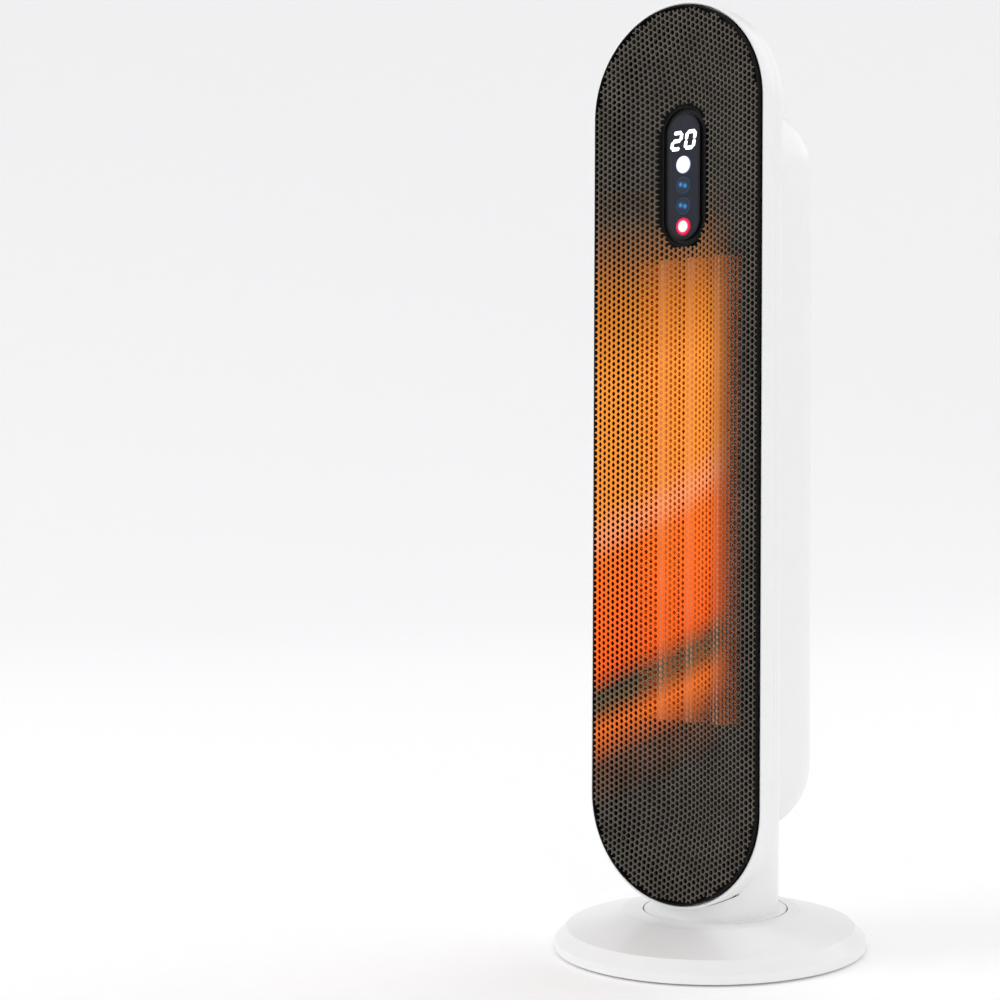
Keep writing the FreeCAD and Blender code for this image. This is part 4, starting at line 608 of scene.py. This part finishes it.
@dataclass
class Honeycomb:
    """The dished grille of six-sided holes, its border and its side wall.

    An edge is a cell's side, a hole is measured across its flats, and the dish is given by its depths
    at three distances in from the outline.
    """

    outline: Stadium
    panel: Stadium
    front: float
    back: float
    edge: float = 2.292
    hole: float = 3.15
    wall: float = 1.6
    margin: float = 0.9
    panel_clear: float = 1.4
    recess: float = 0.1
    dish_insets: tuple[float, ...] = (1.0, 15.0, 57.0)
    dish_depths: tuple[float, ...] = (0.0, 1.4, 10.7)
    dish_smoothing: float = 3.0
    rim: float = 1.3
    rim_slope: float = 0.05
    backing_edge: float = 13.2
    backing_levels: tuple[float, ...] = (3.1, 3.5, 4.9, 4.6)
    # Width of the near-black ring of painted shadow round the panel.
    collar: float = 1.7
    sharp: float = 0.1
    # Share of the painted heater light that the back of the lattice keeps.
    back_light: float = 0.85
    crease: float = 40.0
    # The heater's light painted on the grille as a glow.
    painted_light: PaintedHeaterLight = field(default_factory=PaintedHeaterLight)

    def depth(self, inside: np.ndarray) -> np.ndarray:
        """Depth of the dish: shallow to the shoulder, steep to the floor, averaged over 6 mm.

        Args:
            inside: Distances in from the outline, in millimetres.

        Returns:
            The depth at each distance.
        """
        spread = np.linspace(-self.dish_smoothing, self.dish_smoothing, 7)
        levels = [np.interp(inside + d, self.dish_insets, self.dish_depths) for d in spread]
        return np.mean(levels, axis=0)

    def build(self) -> None:
        """Builds the lattice, its border, the band behind it and the ring round the panel."""
        self._lattice()
        self._border()
        self._backing()
        self._shadow_ring()

    def _lattice(self) -> None:
        """Lays out cells in columns 1.5 edges apart; ribs join facing hole sides, triangles the corners."""
        step, rise = 1.5 * self.edge, math.sqrt(3.0) * self.edge
        wide = int(self.outline.half_width // step) + 1
        tall = int(self.outline.half_height // rise) + 2
        i, j = np.meshgrid(np.arange(-wide, wide + 1), np.arange(-tall, tall + 1), indexing="ij")
        x = i * step
        z = self.outline.middle + (j + 0.5 * (i % 2)) * rise
        inside = self.outline.inside(x, z)
        clear = -self.panel.inside(x, z)
        held = (inside > self.margin) & (clear > self.panel_clear)
        number = np.full(i.shape, -1)
        number[held] = np.arange(held.sum())
        angle = np.arange(6) * math.pi / 3.0
        radius = self.hole / math.sqrt(3.0)
        px = (x[held][:, None] + radius * np.cos(angle)).ravel()
        pz = (z[held][:, None] + radius * np.sin(angle)).ravel()
        px, pz = self.outline.held_in(px, pz, self.margin)
        py = self.front + self.recess + self.depth(self.outline.inside(px, pz))
        count = len(px)

        def neighbour(di: int, dj: np.ndarray | int) -> np.ndarray:
            """Finds the cell that many columns and rows away.

            Args:
                di: Columns to the right.
                dj: Rows up, one number or one for each cell.

            Returns:
                The neighbour's number for each held cell, or -1.
            """
            a, b = i + di, j + dj
            row, column = a + wide, b + tall
            fits = (row >= 0) & (row < number.shape[0]) & (column >= 0) & (column < number.shape[1])
            found = np.where(fits, number[np.where(fits, row, 0), np.where(fits, column, 0)], -1)
            return np.where(held, found, -1)[held]

        own = number[held]
        up_right = neighbour(1, i % 2)
        above = neighbour(0, 1)
        low_right = neighbour(1, -1 + (i % 2))
        quads, triangles = [], []
        for side, other in ((0, up_right), (1, above), (5, low_right)):
            use = other >= 0
            a, b = own[use] * 6, other[use] * 6
            corners = (a + side, b + (side + 4) % 6, b + (side + 3) % 6, a + (side + 1) % 6)
            quads.append(np.stack(corners, axis=1))
        use = (low_right >= 0) & (up_right >= 0)
        triangles.append(np.stack((own[use] * 6, low_right[use] * 6 + 2, up_right[use] * 6 + 4), axis=1))
        use = (up_right >= 0) & (above >= 0)
        triangles.append(np.stack((own[use] * 6 + 1, up_right[use] * 6 + 3, above[use] * 6 + 5), axis=1))
        quad, triangle = np.concatenate(quads), np.concatenate(triangles)
        points = np.stack([px, py, pz], axis=1)
        behind = points + np.array([0.0, self.wall, 0.0])
        walls = self._walls([quad, triangle], count)
        every = np.concatenate([points, behind]) * MM
        quads_all = np.concatenate([quad, quad[:, ::-1] + count, walls])
        triangles_all = np.concatenate([triangle, triangle[:, ::-1] + count])
        faces = facing_out(every, [quads_all, triangles_all])
        # The heater's glow painted on the lattice's front, a little weaker on its back.
        painted_glow = self.painted_light.at(px, pz)
        painted_glow = np.concatenate([painted_glow, painted_glow * np.array([self.back_light] * 3 + [1.0])])
        make_piece(
            "grille_honeycomb",
            every,
            faces,
            "tower",
            LIT_GRILLE_STEEL,
            ("front_grille",),
            crease=self.crease,
            painted_light=painted_glow,
        )

    @staticmethod
    def _walls(groups: list[np.ndarray], count: int) -> np.ndarray:
        """Quads between front and back along every side that only one face uses.

        Args:
            groups: The front's faces, one array for each count of corners.
            count: Points on the front; the back's follow them.

        Returns:
            The walls' corner numbers, four to a row.
        """
        starts = np.concatenate([group[:, k] for group in groups for k in range(group.shape[1])])
        ends = np.concatenate(
            [group[:, (k + 1) % group.shape[1]] for group in groups for k in range(group.shape[1])]
        )
        single = ~np.isin(starts * count + ends, ends * count + starts)
        a, b = starts[single], ends[single]
        return np.stack((b, a, a + count, b + count), axis=1)

    def _border(self) -> None:
        """The plain rolled rim that covers the cut cells, and the side wall behind it, near-black with
        painted shade.
        """
        section = softened(
            [
                (0.0, self.back, 0.2),
                (0.0, self.front, 0.6),
                (self.rim, self.front + self.rim_slope, 0.25),
                (self.rim, self.back, self.sharp),
            ]
        )
        points, quads = self.outline.sweep(section)
        faces = facing_out(points, [quads])
        make_piece("grille_rim", points, faces, "tower", SHADOW_STEEL)

    def _backing(self) -> None:
        """The near-black band behind the outer cells that hides the frame's white ledge, 12 mm wide: painted
        shade seen through those cells.
        """
        insets = (self.rim, self.backing_edge, self.backing_edge, self.rim)
        section = softened(
            [(inset, self.front + level, self.sharp) for inset, level in zip(insets, self.backing_levels)]
        )
        points, quads = self.outline.sweep(section)
        faces = facing_out(points, [quads])
        make_piece("grille_backing", points, faces, "tower", SHADOW_STEEL)

    def _shadow_ring(self) -> None:
        """The near-black ring that finishes the honeycomb round the control panel, proud of it by 0.1 mm:
        painted shadow that stands for the shadow gap round the panel.
        """
        face = self.front + self.dish_depths[-1]
        section = softened(
            [
                (0.0, face + self.wall, self.sharp),
                (0.0, face, 0.25),
                (-self.collar, face, 0.25),
                (-self.collar, face + self.wall, self.sharp),
            ]
        )
        points, quads = self.panel.sweep(section, around=48)
        faces = facing_out(points, [quads])
        make_piece("panel_shadow_ring", points, faces, "tower", SHADOW_STEEL)


# ---------------------------------------------------------------- control panel


class Key(Enum):
    """The four keys by body name, with the light of the core, the ring and the edge."""

    POWER = ("power_key", "#ffffff", "#e8164a", "#b01038")
    SWING = ("swing_key", "#0d1a2a", "#0a1420", "#17324a")
    TIMER = ("timer_key", "#0d1a2a", "#0a1420", "#17324a")
    MODE = ("mode_key", "#f4f8ff", "#dfe9ff", "#5a6690")


@dataclass
class KeyCap:
    """A round key: a slightly domed cap, the collar that holds it in and its stem.

    Its light is given by the radii of the core's edge, the ring and the cap's edge.
    """

    key: Key
    dome: float = 0.12
    collar: float = 0.8
    face: float = 5.8
    stem: float = 1.8
    around: int = 64
    rings: int = 23
    first_ring: float = 0.25
    edge_round: tuple[float, float, float] = (0.35, 0.12, 0.45)
    lens_gap: float = 0.1
    lit_depth: float = 1.0
    # Width, places and colour of the two painted blue highlights on the swing and timer keys.
    highlight_width: float = 1.2
    spots: tuple[tuple[float, float], ...] = ((-1.9, 0.5), (1.7, -0.5))
    highlight_tone: str = "#2a86c8"

    STOPS: ClassVar[dict[Key, tuple[float, ...]]] = {
        Key.POWER: (0.0, 2.9, 4.1, 5.8),
        Key.SWING: (0.0, 2.2, 4.9, 5.6),
        Key.TIMER: (0.0, 2.2, 4.9, 5.6),
        Key.MODE: (0.0, 4.9, 5.2, 5.8),
    }
    SLOTS: ClassVar[dict[Key, str]] = {
        Key.POWER: "key_red",
        Key.SWING: "key_blue",
        Key.TIMER: "key_blue",
        Key.MODE: "key_white",
    }

    def build(self) -> None:
        """Turns the key's profile about its own axis along Y and paints its light by radius."""
        node = self.key.value[0]
        low, high = (np.array(corner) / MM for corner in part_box(node))
        middle, front, back = (low + high) / 2, low[1], high[1]
        radii, ys = self._profile(front, back, (high[0] - low[0]) / 2)
        turn = np.linspace(0.0, 2 * math.pi, self.around, endpoint=False)
        x = middle[0] + radii[:, None] * np.cos(turn)
        z = middle[2] + radii[:, None] * np.sin(turn)
        y = np.repeat(ys[:, None], len(turn), axis=1)
        poles = np.array([[middle[0], front, middle[2]], [middle[0], back, middle[2]]])
        points = np.concatenate([np.stack([x, y, z], axis=2).reshape(-1, 3), poles]) * MM
        make_piece(
            f"{node}_cap",
            points,
            facing_out(points, self._skin(len(radii))),
            node,
            KEY_CAP,
            (node,),
            painted_light=self._light(radii, ys, points / MM - middle, points[:, 1] / MM, front),
        )

    def _profile(self, front: float, back: float, collar_radius: float) -> tuple[np.ndarray, np.ndarray]:
        """Runs from the face's middle over its edge and the collar to the stem's end.

        The face's depth is the dome times the square of the radius over the face's radius.

        Args:
            front: Y of the face's middle, in millimetres.
            back: Y of the stem's end.
            collar_radius: Outer radius of the collar.

        Returns:
            The radius and the Y of each ring.
        """
        straight, chamfer, depth = self.edge_round
        seat = float(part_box("display_lens")[1][1]) / MM + self.lens_gap
        radii = np.concatenate(
            [
                np.linspace(self.first_ring, self.face - straight, self.rings),
                [self.face - chamfer, self.face, self.face],
            ]
        )
        ys = front + self.dome * (radii / self.face) ** 2
        ys[-1] = seat
        ys[-2] = front + depth
        radii = np.concatenate([radii, [collar_radius, collar_radius, self.stem, self.stem]])
        ys = np.concatenate([ys, [seat, seat + self.collar, seat + self.collar, back]])
        return radii, ys

    def _skin(self, rings: int) -> list[np.ndarray]:
        """Quads from ring to ring and a fan of triangles round each pole.

        Args:
            rings: How many rings the profile has; the two poles follow their points.

        Returns:
            The quads and the triangles.
        """
        count = self.around
        quads = ring_faces(rings, count)[: (rings - 1) * count]
        here = np.arange(count)
        after, last, pole = (here + 1) % count, (rings - 1) * count, rings * count
        near = np.stack((np.full(count, pole), after, here), axis=1)
        far = np.stack((np.full(count, pole + 1), last + here, last + after), axis=1)
        return [quads, np.concatenate([near, far])]

    def _light(
        self, radii: np.ndarray, ys: np.ndarray, places: np.ndarray, depth: np.ndarray, front: float
    ) -> np.ndarray:
        """Paints core, ring and edge by radius, and the two painted blue highlights on the keys that have
        them.

        Args:
            radii: The radius of each ring, in millimetres.
            ys: The Y of each ring.
            places: Each point from the key's middle.
            depth: The Y of each point.
            front: Y of the face's middle.

        Returns:
            Linear colours, one row of four for each point.
        """
        _, core, ring, edge = self.key.value
        tones = np.array([linear(core), linear(core), linear(ring), linear(edge)])
        lit = np.stack([np.interp(radii, self.STOPS[self.key], tones[:, c]) for c in range(4)], axis=1)
        lit[ys > front + self.lit_depth, :3] = 0.0
        lit = np.concatenate([np.repeat(lit, self.around, axis=0), lit[:1], lit[-1:]])
        if self.key in (Key.SWING, Key.TIMER):
            lit[:, :3] += self._painted_highlights(places, depth < front + self.lit_depth)
        return lit

    def _painted_highlights(self, places: np.ndarray, face: np.ndarray) -> np.ndarray:
        """Two soft blue painted highlights on the face, each a bell curve.

        Args:
            places: Each point from the key's middle, in millimetres.
            face: Which points are on the face.

        Returns:
            Linear colours to add, one row of three for each point.
        """
        x, z, width = places[:, 0], places[:, 2], self.highlight_width**2
        bells = sum(np.exp(-((x - at) ** 2 + (z - up) ** 2) / width) for at, up in self.spots)
        return (bells * face)[:, None] * np.array(linear(self.highlight_tone))[:3]


@dataclass
class Digits:
    """A two-digit seven-bar display: each bar is a bevelled six-sided prism.

    The bevel scales the front outline about its middle, and starts a little behind the front.
    """

    middle: float
    front: float
    height: float = 12.8
    width: float = 9.0
    pitch: float = 11.0
    bar: float = 2.4
    slant: float = 0.18
    thickness: float = 0.12
    bevel: float = 0.92
    bevel_depth: float = 0.04
    gap: float = 0.08
    point: float = 0.34

    LIT: ClassVar[dict[str, str]] = {"2": "abged", "0": "abcdef"}

    def build(self, text: str) -> None:
        """Places the bars of each digit and joins them in one piece.

        A bar runs between two corners of the digit's figure of eight, shortened by a gap.

        Args:
            text: The digits, from left to right.
        """
        half = self.height / 2 - self.bar / 2
        side = self.width / 2 - self.bar / 2
        spots = {
            "a": ((-side, half), (side, half)),
            "b": ((side, half), (side, 0.0)),
            "c": ((side, 0.0), (side, -half)),
            "d": ((-side, -half), (side, -half)),
            "e": ((-side, 0.0), (-side, -half)),
            "f": ((-side, half), (-side, 0.0)),
            "g": ((-side, 0.0), (side, 0.0)),
        }
        points, sides, ends = [], [], []
        for place, digit in enumerate(text):
            shift = (place - (len(text) - 1) / 2) * self.pitch
            for letter in self.LIT[digit]:
                sheet = self._bar(*(np.array(p) for p in spots[letter]))
                sheet[:, 0] += self.slant * sheet[:, 1] + shift
                base = 18 * len(points)
                inner = self.bevel * (sheet - sheet.mean(0)) + sheet.mean(0)
                levels = (
                    (sheet, self.front + self.bevel_depth),
                    (inner, self.front),
                    (sheet, self.front + self.thickness),
                )
                points.append(
                    np.concatenate(
                        [np.stack([s[:, 0], np.full(6, y), s[:, 1] + self.middle], axis=1) for s, y in levels]
                    )
                )
                k = np.arange(6)
                n = (k + 1) % 6
                sides.append(np.stack([base + k, base + n, base + 6 + n, base + 6 + k], axis=1))
                sides.append(np.stack([base + 12 + k, base + 12 + n, base + n, base + k], axis=1))
                ends.append(base + 6 + k[None])
                ends.append(base + 12 + k[None, ::-1])
        every = np.concatenate(points) * MM
        faces = facing_out(every, [np.concatenate(sides), np.concatenate(ends)])
        make_piece("display_figures", every, faces, "tower", LIT_ACRYLIC)

    def _bar(self, start: np.ndarray, stop: np.ndarray) -> np.ndarray:
        """Six corners of a bar with pointed ends, in order round it.

        Args:
            start: X and Z of one end, in millimetres.
            stop: X and Z of the other end.

        Returns:
            The corners as rows of two.
        """
        along = (stop - start) / np.linalg.norm(stop - start)
        across = np.array([-along[1], along[0]]) * self.bar / 2
        gap = along * self.gap
        point = along * self.bar * self.point
        first, last = start + gap, stop - gap
        near, far = first + point, last - point
        return np.array([first, near + across, far + across, last, far - across, near - across])


# ---------------------------------------------------------------- carried-over solids


@dataclass
class InnerParts:
    """The solids whose shape is right: each gets the finish of its material slot."""

    def dress(self) -> None:
        """Gives every solid node its finish."""
        slots = self._slots()
        for name, node in frame["nodes"].items():
            finish = SLOT_FINISH[slots[name]]
            made = finish.material()
            if not node.data.materials:
                node.data.materials.append(made)
            for at in range(len(node.data.materials)):
                node.data.materials[at] = made
            LOG.info("%s: %s", name, finish.name)

    @staticmethod
    def _slots() -> dict[str, str]:
        """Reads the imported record's material slots.

        Returns:
            The slot of each node.
        """
        parts = frame["record"]["subparts"]
        rows = parts.items() if isinstance(parts, dict) else ((row["node"], row) for row in parts)
        return {name: row["material_slot"] for name, row in rows}


# ---------------------------------------------------------------- studio


@dataclass
class Studio:
    """The pale floor, the soft lights and the camera, in metres, degrees and watts."""

    floor_radius: float = 16.0
    flat_radius: float = 3.0
    floor_rise: float = 9.0
    world_tone: str = "#fbfbfd"
    world_strength: float = 0.76
    aim_height: float = 0.32
    camera_at: tuple[float, float, float] = (0.7070, -0.9775, 0.2985)
    camera_turn: float = 35.92
    camera_roll: float = 0.248
    sensor: float = 36.0
    lens: float = 64.8
    shift: float = -0.211
    far_clip: float = 200.0

    def build(self) -> None:
        """Makes the floor, world, lights and camera."""
        self._floor()
        self._world()
        self._light("key_light", (-2.2, -2.6, 2.6), 1.9, 30.0)
        self._light("fill_light", (2.6, -1.6, 1.7), 2.2, 5.0)
        self._light("back_light", (0.6, 2.6, 2.4), 2.2, 12.0)
        self._camera()

    def _floor(self) -> None:
        """A disc flat to 3 m that then rises 9 m in a smooth step, so that no horizon shows."""
        radii = np.concatenate([[0.001, 0.2, 0.8], np.linspace(self.flat_radius, self.floor_radius, 24)])
        part = np.clip((radii - self.flat_radius) / (self.floor_radius - self.flat_radius), 0.0, 1.0)
        rise = self.floor_rise * part * part * (3.0 - 2.0 * part)
        turn = np.linspace(0.0, 2 * math.pi, 48, endpoint=False)
        x, y = radii[:, None] * np.cos(turn), radii[:, None] * np.sin(turn)
        points = np.stack([x, y, np.repeat(rise[:, None], len(turn), axis=1)], axis=2).reshape(-1, 3)
        quads = ring_faces(len(radii), len(turn))[: (len(radii) - 1) * len(turn)]
        mesh = bpy.data.meshes.new("floor")
        mesh.from_pydata(points.tolist(), [], quads.tolist())
        mesh.shade_smooth()
        mesh.materials.append(PAPER.material())
        floor = bpy.data.objects.new("floor", mesh)
        bpy.context.scene.collection.objects.link(floor)

    def _world(self) -> None:
        """An even near-white surround, shown as it is so that white stays white."""
        world = bpy.data.worlds.new("studio")
        bpy.context.scene.world = world
        world.use_nodes = True
        sky = world.node_tree.nodes["Background"]
        sky.inputs["Color"].default_value = linear(self.world_tone)
        sky.inputs["Strength"].default_value = self.world_strength
        bpy.context.scene.view_settings.view_transform = "Standard"

    def _light(self, name: str, at: tuple[float, float, float], size: float, watts: float) -> None:
        """Adds a square soft light aimed at the middle of the heater.

        Args:
            name: The light's name.
            at: Its place.
            size: Its side.
            watts: Its power.
        """
        data = bpy.data.lights.new(name, "AREA")
        data.size = size
        data.energy = watts
        lamp = bpy.data.objects.new(name, data)
        lamp.location = at
        aim = Vector((0.0, 0.0, self.aim_height)) - Vector(at)
        lamp.rotation_euler = aim.to_track_quat("-Z", "Y").to_euler()
        bpy.context.scene.collection.objects.link(lamp)

    def _camera(self) -> None:
        """A level camera in front and to the right, shifted so that the heater stands at the right."""
        data = bpy.data.cameras.new("camera")
        data.sensor_width = self.sensor
        data.lens = self.lens
        data.shift_x = self.shift
        data.clip_end = self.far_clip
        camera = bpy.data.objects.new("camera", data)
        turn = Matrix.Rotation(math.radians(self.camera_turn), 4, "Z") @ Matrix.Rotation(math.pi / 2, 4, "X")
        turn = turn @ Matrix.Rotation(math.radians(self.camera_roll), 4, "Z")
        camera.matrix_world = Matrix.Translation(self.camera_at) @ turn
        bpy.context.scene.collection.objects.link(camera)
        bpy.context.scene.camera = camera


def front_of(node: str) -> float:
    """The lowest Y of a solid node, in millimetres."""
    return float(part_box(node)[0][1]) / MM


def main() -> None:
    """Builds the heater's pieces in order, then the studio."""
    logging.basicConfig(level=logging.INFO, format="%(name)s: %(message)s")
    InnerParts().dress()
    FrontFrame(Stadium.of("front_frame"), front=front_of("front_frame"), seam=front_of("rear_cover")).build()
    Honeycomb(
        Stadium.of("front_grille"),
        Stadium.of("display_housing", PANEL_GAP),
        front=front_of("front_grille"),
        back=front_of("front_grille") + GRILLE_SKIRT,
    ).build()
    for key in Key:
        KeyCap(key).build()
    module = Stadium.of("display_module")
    Digits(middle=module.middle, front=front_of("display_lens") - PROUD).build("20")
    Studio().build()


if __name__ == "__main__":
    main()
